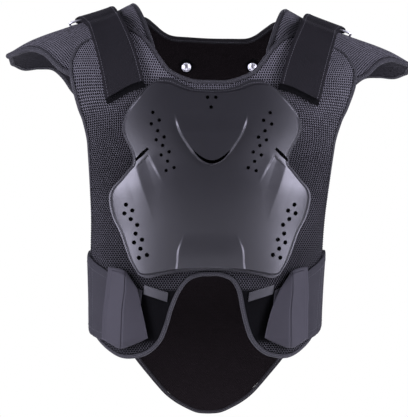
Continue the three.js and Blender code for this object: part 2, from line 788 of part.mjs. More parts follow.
function buildPlate() {
  const inner = plateGrid(0);
  const outer = plateGrid(plateThickness);
  const cutters = [];
  for (const run of holeRuns) {
    for (const { across, down } of holePlaces(run)) {
      for (const side of [-1, 1]) cutters.push(drillAt(side * across, down, run.radius));
    }
  }
  for (const [across, down] of [[-0.034, 0.042], [0.046, 0.042], [0, 0.092]]) {
    cutters.push(drillAt(across, down, holeRadius));
  }
  const place = (across, down) => new THREE.Vector2(across * plateHalfWidth, -plateTop - down * plateLength);
  const smile = new THREE.QuadraticBezierCurve(place(-0.175, 0.338), place(0, 0.466), place(0.175, 0.338));
  cutters.push(slotAlong(smile, slotWidth));
  for (const side of [-1, 1]) {
    const vent = new THREE.LineCurve(place(side * 0.735, 0.382), place(side * 0.622, 0.325));
    cutters.push(slotAlong(vent, slotWidth));
  }
  add('chest_plate', cutFrom(sheetBetween(inner, outer), cutters), moulded);
}

// Belt: from the front, round the side in a straight stretch, to the back of the vest
function beltPoint(side, along, up, lift) {
  const wide = widthAt(up) + overFront;
  const start = Math.asin(beltEnd / wide);
  const frontPart = 0.5;
  const sidePart = 0.66;
  if (along <= frontPart) {
    return onBody(-1, side * mix(start, quarter, along / frontPart), up, overFront + lift);
  }
  if (along >= sidePart) {
    const t = (along - sidePart) / (1 - sidePart);
    return onBody(1, side * mix(quarter, beltTail * degrees, t), up, overBack + lift);
  }
  const t = (along - frontPart) / (sidePart - frontPart);
  const from = onBody(-1, side * quarter, up, overFront + lift);
  const to = onBody(1, side * quarter, up, overBack + lift);
  return new THREE.Vector3(mix(from.x, to.x, ease((t - 0.15) / 0.7)), mix(from.y, to.y, t), up);
}

const beltEdges = [
  { along: 0.00, top: 0.34, foot: -0.03 },
  { along: 0.12, top: 0.22, foot: -0.04 },
  { along: 0.25, top: 0.05, foot: -0.02 },
  { along: 0.50, top: -0.14, foot: 0.07 },
  { along: 1.00, top: -0.14, foot: 0.08 },
];
const beltTopAt = through(beltEdges, 'along', 'top');
const beltFootAt = through(beltEdges, 'along', 'foot');

function buildBelt(side, word) {
  const grid = (lift) => gridOf(15, 3, (a, b) => {
    const top = -beltFoot + beltHeight * (1 - beltTopAt(a));
    const foot = -beltFoot + beltHeight * beltFootAt(a);
    return beltPoint(side, a, mix(top, foot, b), lift);
  });
  add(`waist_belt_${word}`, sheetBetween(grid(0), grid(beltThickness)), webbing);
}

// Side guard: a moulded plate with a crease down its middle. Out is the share of guardWidth from
// the middle, down the share of guardHeight, at the top and at the foot.
const guardTable = [
  { step: 0.00, topOut: 0.45, topDown: -0.02, footOut: 0.54, footDown: 0.925 },
  { step: 0.15, topOut: 0.28, topDown: -0.01, footOut: 0.36, footDown: 0.975 },
  { step: 0.50, topOut: 0.06, topDown: 0.035, footOut: 0.09, footDown: 1.035 },
  { step: 0.80, topOut: -0.07, topDown: 0.135, footOut: -0.28, footDown: 0.955 },
  { step: 1.00, topOut: -0.21, topDown: 0.255, footOut: -0.510, footDown: 0.890 },
];
const guard = Object.fromEntries(
  Object.keys(guardTable[0]).map((key) => [key, through(guardTable, 'step', key)]),
);

function buildGuard(side, word) {
  const grid = (lift) => gridOf(8, 6, (a, b) => {
    const topX = guardCentre + guardWidth * guard.topOut(a);
    const footX = guardCentre + guardWidth * guard.footOut(a);
    const bulge = guardWidth * 0.05 * sin(Math.PI * b) * (a - 0.5);
    const down = mix(guard.topDown(a), guard.footDown(a), b);
    const crease = guardCrease * (1 - 2 * abs(a - 0.5)) * ease(6 * min(b, 1 - b) + 0.3);
    const x = side * (mix(topX, footX, b) - bulge);
    return atWidth(-1, x, -guardTop - guardHeight * down, guardInner + crease + lift);
  });
  add(`side_plate_${word}`, sheetBetween(grid(0), grid(guardThickness)), guardFinish);
}

// Narrow strap from the belt to the edge of the arch
const waistStrapGap = 9;
const waistStrapDrop = 28;
const waistStrapSlope = 10;
const waistStrapStart = beltEnd - waistStrapGap;
const waistStrapOut = plateTop + plateLength + waistStrapDrop;
const archEdge = 53;

function buildWaistStrap(side, word) {
  const grid = (lift) => gridOf(5, 1, (a, b) => {
    const x = side * mix(waistStrapStart, archEdge, a);
    const up = -waistStrapOut - a * waistStrapSlope + waistStrapWidth * (0.5 - b);
    return atWidth(-1, x, up, frontOuter + 0.7 * layerGap + lift);
  });
  add(`waist_strap_${word}`, sheetBetween(grid(0), grid(waistStrapThickness)), satin);
}

for (const [side, word] of [[-1, 'left'], [1, 'right']]) {
  buildPad(side, word);
  buildStrap(side, word);
  buildLoop(side, word);
  buildTab(side, word);
  buildBelt(side, word);
  buildGuard(side, word);
  buildWaistStrap(side, word);
}
buildFront();
buildBack();
buildPlate();

export default vest;
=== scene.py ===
# %% [markdown]
# # A motorcycle armour vest, one piece at a time
# The vest is cloth and padding formed round a body, with hard plates on it. Every piece follows
# the same body surface at its own small distance above it, so one set of formulas places them
# all. Each step below says what a piece is on the real vest and how its surface is worked out.

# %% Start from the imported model
import math

import bmesh
import bpy
import numpy as np
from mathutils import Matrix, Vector


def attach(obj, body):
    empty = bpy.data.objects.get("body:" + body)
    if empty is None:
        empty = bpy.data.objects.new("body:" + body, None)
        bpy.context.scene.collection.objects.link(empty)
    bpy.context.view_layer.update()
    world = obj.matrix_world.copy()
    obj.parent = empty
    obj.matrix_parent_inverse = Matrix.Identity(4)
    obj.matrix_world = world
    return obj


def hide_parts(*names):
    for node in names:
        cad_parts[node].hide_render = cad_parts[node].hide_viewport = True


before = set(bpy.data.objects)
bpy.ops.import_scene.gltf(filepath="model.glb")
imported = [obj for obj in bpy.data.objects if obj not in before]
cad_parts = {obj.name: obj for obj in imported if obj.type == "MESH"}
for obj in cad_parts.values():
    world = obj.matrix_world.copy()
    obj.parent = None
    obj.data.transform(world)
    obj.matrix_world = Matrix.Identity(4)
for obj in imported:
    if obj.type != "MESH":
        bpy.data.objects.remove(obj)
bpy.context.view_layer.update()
MM = 0.001
SIDES = {"left": -1, "right": 1}

# %% [markdown]
# The body is a stack of sections. A table row gives the section at a share of the body's
# length: its half width, and its depth in front and behind, at the middle and at the side. A
# smooth curve through the rows gives every height between them, for whole arrays at once.

# %% Smooth curves through short tables
def through(rows, place, column):
    """Cubic Hermite curve through one column of a table, with slopes from the rows beside."""
    xs = np.array([row[place] for row in rows], float)
    ys = np.array([row[column] for row in rows], float)
    before = np.maximum(np.arange(len(xs)) - 1, 0)
    after = np.minimum(np.arange(len(xs)) + 1, len(xs) - 1)
    slopes = (ys[after] - ys[before]) / (xs[after] - xs[before])

    def curve(x):
        at = np.clip(x, xs[0], xs[-1])
        k = np.clip(np.searchsorted(xs, at, side="left") - 1, 0, len(xs) - 2)
        span = xs[k + 1] - xs[k]
        t = (at - xs[k]) / span
        start = (1 - t) ** 2 * ((1 + 2 * t) * ys[k] + t * span * slopes[k])
        end = t**2 * ((3 - 2 * t) * ys[k + 1] - (1 - t) * span * slopes[k + 1])
        return start + end

    return curve


def table(columns, *rows):
    """Rows of numbers with named columns."""
    return [dict(zip(columns.split(), row)) for row in rows]


def columns_of(rows, place):
    return {name: through(rows, place, name) for name in rows[0]}


def ease(t):
    """Smooth step from 0 to 1."""
    t = np.clip(t, 0, 1)
    return t * t * (3 - 2 * t)


def mix(a, b, t):
    return a + (b - a) * t


def signed_power(value, power):
    return np.sign(value) * np.abs(value) ** power


def share_grid(columns, rows, start=0):
    """Shares of the way along and down, for every point of a grid."""
    return np.meshgrid(np.linspace(start, 1, columns), np.linspace(0, 1, rows), indexing="ij")


# %% [markdown]
# The lengths below set the vest's size, and the tables hold shares of them. The second table is
# the line of the shoulders: how far it has dropped at each share of the way out.

# %% The body's sections and the line of the shoulders
HALF_WIDTH, FRONT_DEPTH, BACK_DEPTH, BODY_LENGTH = 162 * MM, 106 * MM, 100 * MM, 573 * MM
SHOULDER_SPAN, SHOULDER_DROP, SHOULDER_RISE = 276 * MM, 87 * MM, 110 * MM
SECTION_POWER = 2.3

section = columns_of(table(
    "down width front front_side back back_side curl",
    (0.000, 1.235, 0.93, 0.76, 0.84, 0.74, 0.90),
    (0.105, 1.235, 0.96, 0.76, 0.90, 0.74, 0.90),
    (0.195, 1.215, 1.00, 0.76, 0.97, 0.74, 0.90),
    (0.262, 1.050, 1.01, 0.69, 1.00, 0.70, 0.93),
    (0.325, 0.950, 0.98, 0.57, 0.99, 0.64, 0.97),
    (0.480, 0.834, 0.92, 0.32, 0.90, 0.48, 1.00),
    (0.623, 0.802, 0.90, 0.20, 0.86, 0.42, 1.00),
    (0.750, 0.785, 0.88, 0.16, 0.90, 0.42, 1.00),
    (1.000, 0.773, 0.86, 0.16, 0.98, 0.42, 1.00),
), "down")
shoulder_line = columns_of(table(
    "out drop",
    (0.00, -0.07), (0.20, 0.02), (0.35, 0.13), (0.47, 0.31), (0.67, 0.53), (0.87, 0.76), (1.00, 1.00),
), "out")


def width_at(up):
    return HALF_WIDTH * section["width"](-up / BODY_LENGTH)


def ridge(x):
    """Height of the shoulder line at a distance out."""
    return -SHOULDER_DROP * shoulder_line["drop"](np.abs(x) / SHOULDER_SPAN)


def depth_at(face, turn, up):
    """Half depth: the side's depth plus a superellipse bow, |out|^p + bow^p = 1."""
    down = -up / BODY_LENGTH
    depth, name = (FRONT_DEPTH, "front") if face < 0 else (BACK_DEPTH, "back")
    deep, side = depth * section[name](down), depth * section[f"{name}_side"](down)
    out = np.minimum(np.abs(np.sin(turn)), section["curl"](down))
    bow = np.sign(np.cos(turn)) * np.maximum(0, 1 - out**SECTION_POWER) ** (1 / SECTION_POWER)
    return mix(side, deep, bow)


# %% [markdown]
# Above the chest the surface closes over the shoulder as a quarter of an ellipse. Two ways of
# naming a point are kept: by its turn from the centre line and its height, for the panels, and by
# its distance out and its angle over the shoulder, for the pads and straps.

# %% Points on the body and on the shoulder
def stack(x, y, z):
    return np.stack(np.broadcast_arrays(x, y, z), axis=-1)


def body_point(face, turn, up):
    x = width_at(up) * np.sin(turn)
    rise = np.maximum(0, 1 + (up - ridge(x)) / SHOULDER_RISE)
    closing = np.sqrt(np.maximum(0, 1 - rise**2))
    return stack(x, face * depth_at(face, turn, up) * closing, up)


def shoulder_point(x, angle):
    up = ridge(x) - SHOULDER_RISE + SHOULDER_RISE * np.sin(angle)
    turn = np.arcsin(np.clip(x / width_at(up), -1, 1))
    front = np.cos(angle) > 0
    depth = np.where(front, -depth_at(-1, turn, up), depth_at(1, turn, up))
    return stack(x, depth * np.abs(np.cos(angle)), up)


def unit(vectors):
    return vectors / np.maximum(np.linalg.norm(vectors, axis=-1, keepdims=True), 1e-12)


TURN_STEP, LENGTH_STEP = 0.02, 1 * MM


def normal_of(surface, a, b, step_a, step_b):
    """Cross product of small steps along both parameters."""
    along_a = surface(a + step_a, b) - surface(a - step_a, b)
    along_b = surface(a, b + step_b) - surface(a, b - step_b)
    return unit(np.cross(along_a, along_b))


def on_body(face, turn, up, lift):
    def surface(a, b):
        return body_point(face, a, b)
    normal = normal_of(surface, turn, up, TURN_STEP, LENGTH_STEP) * -face
    return surface(turn, up) + normal * np.asarray(lift)[..., None]


def on_shoulder(x, angle, lift):
    normal = normal_of(shoulder_point, x, angle, LENGTH_STEP, TURN_STEP)
    return shoulder_point(x, angle) + normal * np.asarray(lift)[..., None]


def at_width(face, x, up, lift, tries=6):
    """Point at a true distance out: the turn is corrected until its x fits."""
    wide = width_at(up) + lift
    turn = np.arcsin(np.clip(x / wide, -1, 1))
    for _ in range(tries):
        miss = x - on_body(face, turn, up, lift)[..., 0]
        turn = np.clip(turn + miss / wide, -math.pi / 2, math.pi / 2)
    return on_body(face, turn, up, lift)


# %% [markdown]
# Two small tools come up again and again: the length along a line so far, and a unit circle that
# stands square to an axis.

# %% Lines and circles
UP = np.array([0.0, 0.0, 1.0])


def running_length(points):
    """Distance along a line from its first point to each of its points."""
    steps = np.linalg.norm(np.diff(points, axis=0), axis=1)
    return np.concatenate([[0], np.cumsum(steps)])


def circle_on(side, rise, sides):
    """Unit circles, one for each pair of directions."""
    turn = np.linspace(0, 2 * math.pi, sides, endpoint=False)[:, None]
    return side[..., None, :] * np.cos(turn) + rise[..., None, :] * np.sin(turn)


def circle_round(axis, sides):
    """Unit circles square to each axis."""
    side = unit(np.cross(axis, UP))
    return circle_on(side, np.cross(side, axis), sides)


# %% [markdown]
# A worn vest never hangs quite true. This one leans a little and its right shoulder is lower, so
# every finished point goes through one gentle warp.

# %% The lean of a worn vest
SIDE_LEAN, BACK_SHIFT, SHOULDER_TILT = 5 * MM, 6 * MM, 6.5 * MM
lean_table = columns_of(table(
    "down lean",
    (0.10, 0.9), (0.20, 0.9), (0.33, 0.5), (0.48, 0.0), (0.75, -1.0), (1.00, -1.0),
), "down")


def settle(points):
    x, y, z = points[..., 0], points[..., 1], points[..., 2]
    low = ease((-z / BODY_LENGTH - 0.62) / 0.10)
    side = np.maximum(low, np.minimum(1, (x / HALF_WIDTH) ** 2))
    behind = ease(0.5 + y / BACK_DEPTH)
    lean = SIDE_LEAN * lean_table["lean"](-z / BODY_LENGTH) * side * (1 - behind) + BACK_SHIFT * behind
    high = ease((z + 1.5 * SHOULDER_RISE) / SHOULDER_RISE)
    across = np.clip(x / (1.2 * HALF_WIDTH), -1, 1)
    return stack(x + lean, y, z - SHOULDER_TILT * across * high)


# %% [markdown]
# The pieces lie on each other as the layers of the real vest do. Each level is the one below it
# plus a thickness and a small gap, so a thicker pad lifts everything above it.

# %% Levels of the layers above the body
TAPE_WIDTH, TAPE_PROUD, TAPE_GAP, LAYER_GAP, BEND_ROOM = 5.5 * MM, 0.4 * MM, 0.3 * MM, 0.8 * MM, 1 * MM
BACK_THICKNESS, PAD_THICKNESS, FRONT_THICKNESS = 8 * MM, 6 * MM, 7 * MM
STEP = 2 * TAPE_PROUD + LAYER_GAP
PAD_INNER = BACK_THICKNESS + STEP + BEND_ROOM
PAD_OUTER = PAD_INNER + PAD_THICKNESS
FRONT_INNER = PAD_OUTER + STEP + 2 * BEND_ROOM
FRONT_OUTER = FRONT_INNER + FRONT_THICKNESS
OVER_FRONT = FRONT_OUTER + TAPE_PROUD + LAYER_GAP
OVER_BACK = BACK_THICKNESS + TAPE_PROUD + LAYER_GAP + BEND_ROOM
OVER_PAD = PAD_OUTER + TAPE_PROUD + LAYER_GAP
print("front outer level:", round(FRONT_OUTER / MM, 1), "mm")

# %% [markdown]
# Every new piece is a sheet with two faces or a section carried along a line. Both are made the
# same way: numpy arrays of points and of quads go straight into a mesh. If the volume comes out
# negative, the faces look inward and their order is turned round.

# %% From arrays to an object
def add_object(name, data):
    made = bpy.data.objects.new(name, data)
    bpy.context.scene.collection.objects.link(made)
    return made


def object_from(name, points, quads, uv=None, sharp=35, still=False):
    """Mesh object from points (n, 3) and quads (m, 4), settled unless still, and facing out."""
    points = np.asarray(points, float).reshape(-1, 3)
    points = points if still else settle(points)
    a, b, c, d = (points[quads[:, k]] for k in range(4))
    volume = np.einsum("ij,ij->", a, np.cross(b, c)) + np.einsum("ij,ij->", a, np.cross(c, d))
    if volume < 0:
        quads = quads[:, ::-1]
    mesh = bpy.data.meshes.new(name)
    mesh.vertices.add(len(points))
    mesh.vertices.foreach_set("co", points.ravel())
    mesh.loops.add(quads.size)
    mesh.loops.foreach_set("vertex_index", quads.ravel().astype(np.int32))
    mesh.polygons.add(len(quads))
    mesh.polygons.foreach_set("loop_start", np.arange(0, quads.size, 4, dtype=np.int32))
    if uv is not None:
        layer = mesh.uv_layers.new(name="cloth")
        layer.data.foreach_set("uv", np.asarray(uv, float)[quads.ravel()].ravel())
    mesh.update(calc_edges=True)
    mesh.validate()
    mesh.polygons.foreach_set("use_smooth", np.ones(len(mesh.polygons), bool))
    mesh.set_sharp_from_angle(angle=math.radians(sharp))
    return add_object(name, mesh)


def grid_quads(columns, rows, start=0):
    """Quads of a grid whose points run down each column in turn."""
    i, j = np.meshgrid(np.arange(columns - 1), np.arange(rows - 1), indexing="ij")
    a = start + (i * rows + j).ravel()
    return np.stack([a, a + rows, a + rows + 1, a + 1], axis=1)


def border_of(columns, rows):
    """Indices once round the border of a grid."""
    index = np.arange(columns * rows).reshape(columns, rows)
    return np.concatenate([index[:-1, 0], index[-1, :-1], index[:0:-1, -1], index[0, :0:-1]])


def ring_quads(stations, sides, closed):
    """Quads between rings of points; when closed, the last ring joins the first."""
    k, m = np.meshgrid(np.arange(stations - (not closed)), np.arange(sides), indexing="ij")
    k2, m2 = (k + 1) % stations, (m + 1) % sides
    corners = [k * sides + m, k2 * sides + m, k2 * sides + m2, k * sides + m2]
    return np.stack(corners, axis=-1).reshape(-1, 4)


def uv_grid(u, v):
    return np.stack(np.meshgrid(u, v, indexing="ij"), axis=-1).reshape(-1, 2)


def cloth_uv(grid):
    """Distances in metres along and across the sheet, from its middle lines."""
    middle = grid.shape[0] // 2
    along = running_length(grid[:, grid.shape[1] // 2])
    return uv_grid(along - along[middle], running_length(grid[middle]))


def sheet(name, inner, outer, uv=None, sharp=35):
    """Closed sheet: the outer grid, the inner grid turned over, and a wall round the border."""
    columns, rows = inner.shape[:2]
    count = columns * rows
    border = border_of(columns, rows)
    ahead = np.roll(border, -1)
    wall = np.stack([border, border + count, ahead + count, ahead], axis=1)
    quads = np.concatenate([grid_quads(columns, rows), grid_quads(columns, rows, count)[:, ::-1], wall])
    points = np.concatenate([inner.reshape(-1, 3), outer.reshape(-1, 3)])
    uv = cloth_uv(outer) if uv is None else uv
    return object_from(name, points, quads, np.concatenate([uv, uv]), sharp)


def grid_normals(grid):
    return unit(np.cross(np.gradient(grid, axis=0), np.gradient(grid, axis=1)))


def sweep(name, sections, sharp=50):
    """Sections (stations, sides, 3) joined in turn, the last one to the first."""
    stations, sides = sections.shape[:2]
    uv = uv_grid(running_length(sections.mean(axis=1)), np.linspace(0, 1, sides))
    return object_from(name, sections, ring_quads(stations, sides, True), uv, sharp)


def finish_piece(piece, material, slot, *nodes):
    """Give a finished piece its material and its body, and hide the solids that it stands for; slot is not
    used.
    """
    piece.data.materials.clear()
    piece.data.materials.append(material)
    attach(piece, "root")
    if nodes:
        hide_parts(*nodes)
    print(piece.name, len(piece.data.polygons), "faces")
    return piece


def joined(name, pieces):
    """One object from several."""
    with bpy.context.temp_override(active_object=pieces[0], selected_editable_objects=pieces):
        bpy.ops.object.join()
    pieces[0].name = name
    return pieces[0]

# %% [markdown]
# Cloth looks like cloth through small repeated shapes in its colour and bump. Shader maths reads
# best as plain formulas, so one small class wraps a socket and gives it the usual operators.

# %% A small language for shader maths
def maths(operation):
    """A method that adds one Math node."""
    def method(self, *others):
        sockets = {k + 1: other for k, other in enumerate(others)}
        return self.shader.node("ShaderNodeMath", {"operation": operation}, {0: self, **sockets})
    return method


class Value:
    """A number that a node gives; its operators and methods add Math nodes."""

    def __init__(self, shader, socket):
        self.shader, self.socket = shader, socket

    __add__ = __radd__ = maths("ADD")
    __mul__ = __rmul__ = maths("MULTIPLY")
    __sub__ = maths("SUBTRACT")
    __truediv__ = maths("DIVIDE")
    __pow__ = maths("POWER")
    fract = maths("FRACT")
    sine = maths("SINE")
    abs = maths("ABSOLUTE")
    least = maths("MINIMUM")

    def __rsub__(self, other):
        return self.shader.node("ShaderNodeMath", {"operation": "SUBTRACT"}, {0: other, 1: self})

    def between(self, low, high):
        """0 below low, 1 above high, smooth between."""
        return self.shader.node("ShaderNodeMapRange", {"interpolation_type": "SMOOTHSTEP"},
                                {"Value": self, "From Min": low, "From Max": high})


class Shader:
    """One material, built by adding nodes."""

    def __init__(self, name):
        self.material = bpy.data.materials.new(name)
        self.material.use_nodes = True
        self.tree = self.material.node_tree
        self.surface = self.tree.nodes["Principled BSDF"]

    def node(self, kind, settings=None, inputs=None, output=0):
        """Any node: its settings first, then its sockets."""
        made = self.tree.nodes.new(kind)
        for name, setting in (settings or {}).items():
            setattr(made, name, setting)
        for name, given in (inputs or {}).items():
            self.put(made.inputs[name], given)
        return Value(self, made.outputs[output])

    def put(self, socket, given):
        if isinstance(given, Value):
            self.tree.links.new(given.socket, socket)
        else:
            socket.default_value = given

    def place(self, source="Object", scale=(1, 1, 1)):
        """Object coordinates, or the piece's own cloth map, scaled."""
        if source == "cloth":
            start = self.node("ShaderNodeUVMap", {"uv_map": "cloth"})
        else:
            start = self.node("ShaderNodeTexCoord", output="Object")
        return self.node("ShaderNodeMapping", {}, {"Vector": start, "Scale": scale})

    def noise(self, place, scale, detail=3.0, roughness=0.6):
        return self.node("ShaderNodeTexNoise", {}, {"Vector": place, "Scale": scale, "Detail": detail,
                                                    "Roughness": roughness})

    def parts(self, place):
        """The three numbers of a place."""
        split = self.tree.nodes.new("ShaderNodeSeparateXYZ")
        self.put(split.inputs[0], place)
        return [Value(self, out) for out in split.outputs]

    def blend(self, share, first, second):
        """Mix of two colours, each given as red, green and blue or as a node."""
        def full(colour):
            return colour if isinstance(colour, Value) else (*colour, 1)
        made = self.tree.nodes.new("ShaderNodeMix")
        made.data_type = "RGBA"
        self.put(made.inputs[0], share)
        self.put(made.inputs[6], full(first))
        self.put(made.inputs[7], full(second))
        return Value(self, made.outputs[2])

    def bump(self, height, distance, strength=1.0):
        return self.node("ShaderNodeBump", {}, {"Height": height, "Distance": distance, "Strength": strength})

    def finish(self, **sockets):
        for name, given in sockets.items():
            if isinstance(given, tuple):
                given = (*given, 1)
            self.put(self.surface.inputs[name.replace("_", " ").title().replace("Ior", "IOR")], given)
        return self.material

# %% [markdown]
# The panels are air mesh over foam. Air mesh is knitted in small round cells, open and dark in
# the middle, with a raised rim that catches the light. The cells lie on a honeycomb, which is two
# grids of oblong cells set one inside the other: a point belongs to the nearer of their centres.

# %% Air mesh
def honeycomb(shader, place):
    """Distance to the nearest cell centre, in cells, from two offset grids."""
    x, y, _ = shader.parts(place)
    grids = []
    for shift in (0.0, 0.5):
        across = (x + shift).fract() - 0.5
        down = ((y / math.sqrt(3) + shift).fract() - 0.5) * math.sqrt(3)
        grids.append((across * across + down * down) ** 0.5)
    return grids[0].least(grids[1])


def lobe_recess_shade(shader, body):
    """1 on the smooth insert of each lobe, between the arch and the side plate, painted near-black as the
    shade of that recess.
    """
    x, _, z = shader.parts(body)
    wide = (x + 4 * MM).abs()
    below = (z * -1).between(378 * MM, 384 * MM)
    above = 1 - (z * -1).between(446 * MM, 456 * MM)
    return below * above * (1 - wide.between(100 * MM, 106 * MM))


# Colours of painted shade: the ring round each stud and the lobes' recess.
STUD_SHADE, LOBE_SHADE = (0.0004, 0.0004, 0.0006), (0.0008, 0.0008, 0.0010)


def make_air_mesh(name, thread, hole, cell=3.0, lobes=False, seam=True, studs=()):
    """Cells of one size in mm; lobes adds the smooth inserts with painted shade on them and on the lower
    panel, seam the dark line beside the tape.
    """
    shader = Shader(name)
    away = honeycomb(shader, shader.place("cloth", (1 / (cell * MM), 1 / (cell * MM), 1)))
    body = shader.place()
    wear = shader.noise(body, 14)
    fuzz = shader.noise(body, 900, 2)
    # Painted shade: lower down the front panel the holes are drawn wider, so the mesh darkens towards the
    # bottom.
    shade_widening = (shader.parts(body)[2] * -1).between(70 * MM, 240 * MM) * 0.13 if lobes else 0.0
    rim = away.between(shade_widening + 0.27, shade_widening + 0.43)
    colour = shader.blend(rim * (fuzz * 0.5 + 0.65), hole, thread)
    colour = shader.blend(wear.between(0.3, 0.75) * 0.3, colour, hole)
    height = rim + fuzz * 0.25
    if seam:
        beside = shader.node("ShaderNodeAttribute", {"attribute_name": "rim"}, output="Fac")
        colour = shader.blend((1 - beside.between(0.5 * MM, 3.2 * MM)) * 0.85, colour, hole)
    # Painted shade: a dark ring round each stud, where the cloth puckers.
    for stud in studs:
        x, _, z = shader.parts(body)
        near = ((x - stud[0]) ** 2 + (z - stud[2]) ** 2) ** 0.5
        colour = shader.blend(1 - near.between(8.5 * MM, 11 * MM), colour, STUD_SHADE)
    # Painted shade: the lobes' recess under the waist strap is made near-black, and its bump nearly flat.
    if lobes:
        smooth = lobe_recess_shade(shader, body)
        colour = shader.blend(smooth, colour, LOBE_SHADE)
        height = height * (1 - smooth * 0.9)
    return shader.finish(base_color=colour, roughness=fuzz * 0.2 + 0.7, specular_ior_level=0.04,
                         normal=shader.bump(height, 0.7 * MM, 0.9))


def points_of(name):
    """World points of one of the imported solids."""
    solid = bpy.data.objects[name]
    return np.array([solid.matrix_world @ v.co for v in solid.data.vertices])


stud_places = [points_of(f"rivet_{word}").mean(axis=0).tolist() for word in SIDES]
BRIGHT_THREAD, DARK_HOLE = (0.115, 0.112, 0.122), (0.0012, 0.0012, 0.0014)
# The inside of the back is a much darker copy of the air mesh: painted shade of the vest's inside.
SHADED_INNER_THREAD, SHADED_INNER_HOLE = (0.0053, 0.0038, 0.0039), (0.0029, 0.0020, 0.0021)
AIR_MESH = make_air_mesh("air mesh", BRIGHT_THREAD, DARK_HOLE)
FRONT_MESH = make_air_mesh("front air mesh", BRIGHT_THREAD, DARK_HOLE, lobes=True)
SHADED_BACK_CLOTH = make_air_mesh("shaded back cloth", SHADED_INNER_THREAD, SHADED_INNER_HOLE, cell=2.4, seam=False, studs=stud_places)


# %% [markdown]
# Tape and webbing are woven: ribs of thread across the band, and a fine fuzz over them. A cosine
# along the cloth map gives the ribs, and a noise breaks them up.

# %% Tape, webbing, hook cloth and satin
def make_woven(name, light, dark, rib, depth, roughness, cross=0.35, shine=0.06):
    """Ribs across the cloth, a weaker set along it, and fuzz; rib and depth are in mm."""
    shader = Shader(name)
    wave = 2 * math.pi / (rib * MM)
    u, v, _ = shader.parts(shader.place("cloth", (wave, wave, 1)))
    ribs = u.sine() * 0.5 + v.sine() * cross + 0.5
    fuzz = shader.noise(shader.place(), 1100, 2)
    wear = shader.noise(shader.place(), 22)
    shade = (ribs * 0.5 + fuzz * 0.6 + wear * 0.35 - 0.3).between(0.0, 1.0)
    return shader.finish(base_color=shader.blend(shade, dark, light), roughness=fuzz * 0.15 + roughness,
                         specular_ior_level=shine, normal=shader.bump(ribs + fuzz * 0.8, depth * MM, 0.8))


TAPE = make_woven("binding tape", (0.027, 0.026, 0.029), (0.009, 0.009, 0.010), 1.1, 0.15, 0.5, shine=0.15)
# The back's binding is a darker copy of the binding tape: painted shade of the vest's inside.
SHADED_BACK_TAPE = make_woven("shaded back tape", (0.014, 0.013, 0.014), (0.005, 0.005, 0.005), 1.1, 0.15, 0.6)
WEBBING = make_woven("strap webbing", (0.012, 0.011, 0.0125), (0.0045, 0.0045, 0.005), 1.6, 0.3, 0.75)
BELT = make_woven("belt cloth", (0.028, 0.027, 0.030), (0.012, 0.012, 0.0135), 1.3, 0.2, 0.7)
HOOK = make_woven("hook cloth", (0.0028, 0.0028, 0.0034), (0.0006, 0.0006, 0.0007), 1.5, 0.5, 0.8, cross=0.5)
SATIN = make_woven("satin tape", (0.022, 0.022, 0.023), (0.010, 0.010, 0.011), 0.9, 0.08, 0.3, shine=0.35)
THREAD = make_woven("thread", (0.080, 0.078, 0.082), (0.030, 0.030, 0.032), 0.4, 0.05, 0.6)
LINING = make_woven("pad lining", (0.014, 0.013, 0.015), (0.008, 0.008, 0.009), 0.9, 0.06, 0.6)


# %% [markdown]
# The chest plate and the side guards are moulded plastic with a fine even grain. The grain
# scatters light, so the plastic is satin and not glossy. Where hands and cloth rub it, it shines
# a little more.

# %% Moulded plastic and bright metal
def make_plastic(name, colour, rough, grain, shine=0.5):
    shader = Shader(name)
    place = shader.place()
    fine = shader.noise(place, grain, 3, 0.7)
    rubbed = shader.noise(place, 9, 4)
    shade = shader.blend(rubbed.between(0.35, 0.7) * 0.3, colour, tuple(0.72 * part for part in colour))
    return shader.finish(base_color=shade, roughness=fine * 0.10 + rubbed * 0.06 + rough,
                         specular_ior_level=shine, normal=shader.bump(fine, 0.05 * MM, 0.5))


def make_metal(name):
    shader = Shader(name)
    fine = shader.noise(shader.place(), 600, 2)
    marks = shader.noise(shader.place(scale=(1, 1, 14)), 90, 3)
    shade = shader.blend(marks.between(0.4, 0.7), (0.78, 0.78, 0.79), (0.62, 0.62, 0.64))
    return shader.finish(base_color=shade, metallic=1.0, roughness=marks * 0.12 + 0.34,
                         normal=shader.bump(fine, 0.02 * MM, 0.3))


PLATE = make_plastic("moulded plate", (0.0040, 0.0038, 0.0050), 0.34, 1500)
GUARD = make_plastic("moulded guard", (0.023, 0.022, 0.0255), 0.6, 1300, shine=0.12)
METAL = make_metal("bright metal")
print("materials:", len(bpy.data.materials))

# %% [markdown]
# ## Panels
# A panel is drawn by two lines, its top and its foot, from the centre to the side, and is ruled
# between them. Padding makes it belly out a little between its edges, so the outer face rises
# away from the tape as a low pillow.

# %% Front and back panels
FRONT_LENGTH, TAIL_LENGTH, ROW_CROWDING = 467 * MM, 566 * MM, 1.7
front_rows = table(
    "top_out top_drop foot_out foot_down",
    (0.000, 1.100, 0.000, 0.765), (0.108, 1.070, 0.098, 0.766), (0.205, 0.995, 0.218, 0.780),
    (0.283, 0.910, 0.302, 0.815), (0.342, 0.775, 0.358, 0.868), (0.390, 0.645, 0.396, 0.911),
    (0.432, 0.545, 0.450, 0.953), (0.475, 0.465, 0.540, 0.983), (0.522, 0.410, 0.640, 0.997),
    (0.580, 0.380, 0.750, 1.000), (0.700, 0.350, 0.840, 0.987), (0.820, 0.370, 0.935, 0.958),
    (0.885, 0.500, 1.000, 0.920),
)
back_rows = table(
    "top_out top_drop foot_out foot_down",
    (0.000, 0.420, 0.000, 1.000), (0.135, 0.385, 0.130, 0.997), (0.260, 0.345, 0.266, 0.983),
    (0.335, 0.275, 0.370, 0.969), (0.400, 0.170, 0.467, 0.951), (0.455, 0.085, 0.557, 0.928),
    (0.510, 0.055, 0.645, 0.903), (0.585, 0.050, 0.740, 0.875), (0.700, 0.065, 0.828, 0.847),
    (0.800, 0.110, 0.922, 0.817), (0.870, 0.280, 1.000, 0.775),
)


PANEL_SIZE, MAP_STEPS, MAP_HEIGHT = (185, 131), 401, -0.5 * BODY_LENGTH


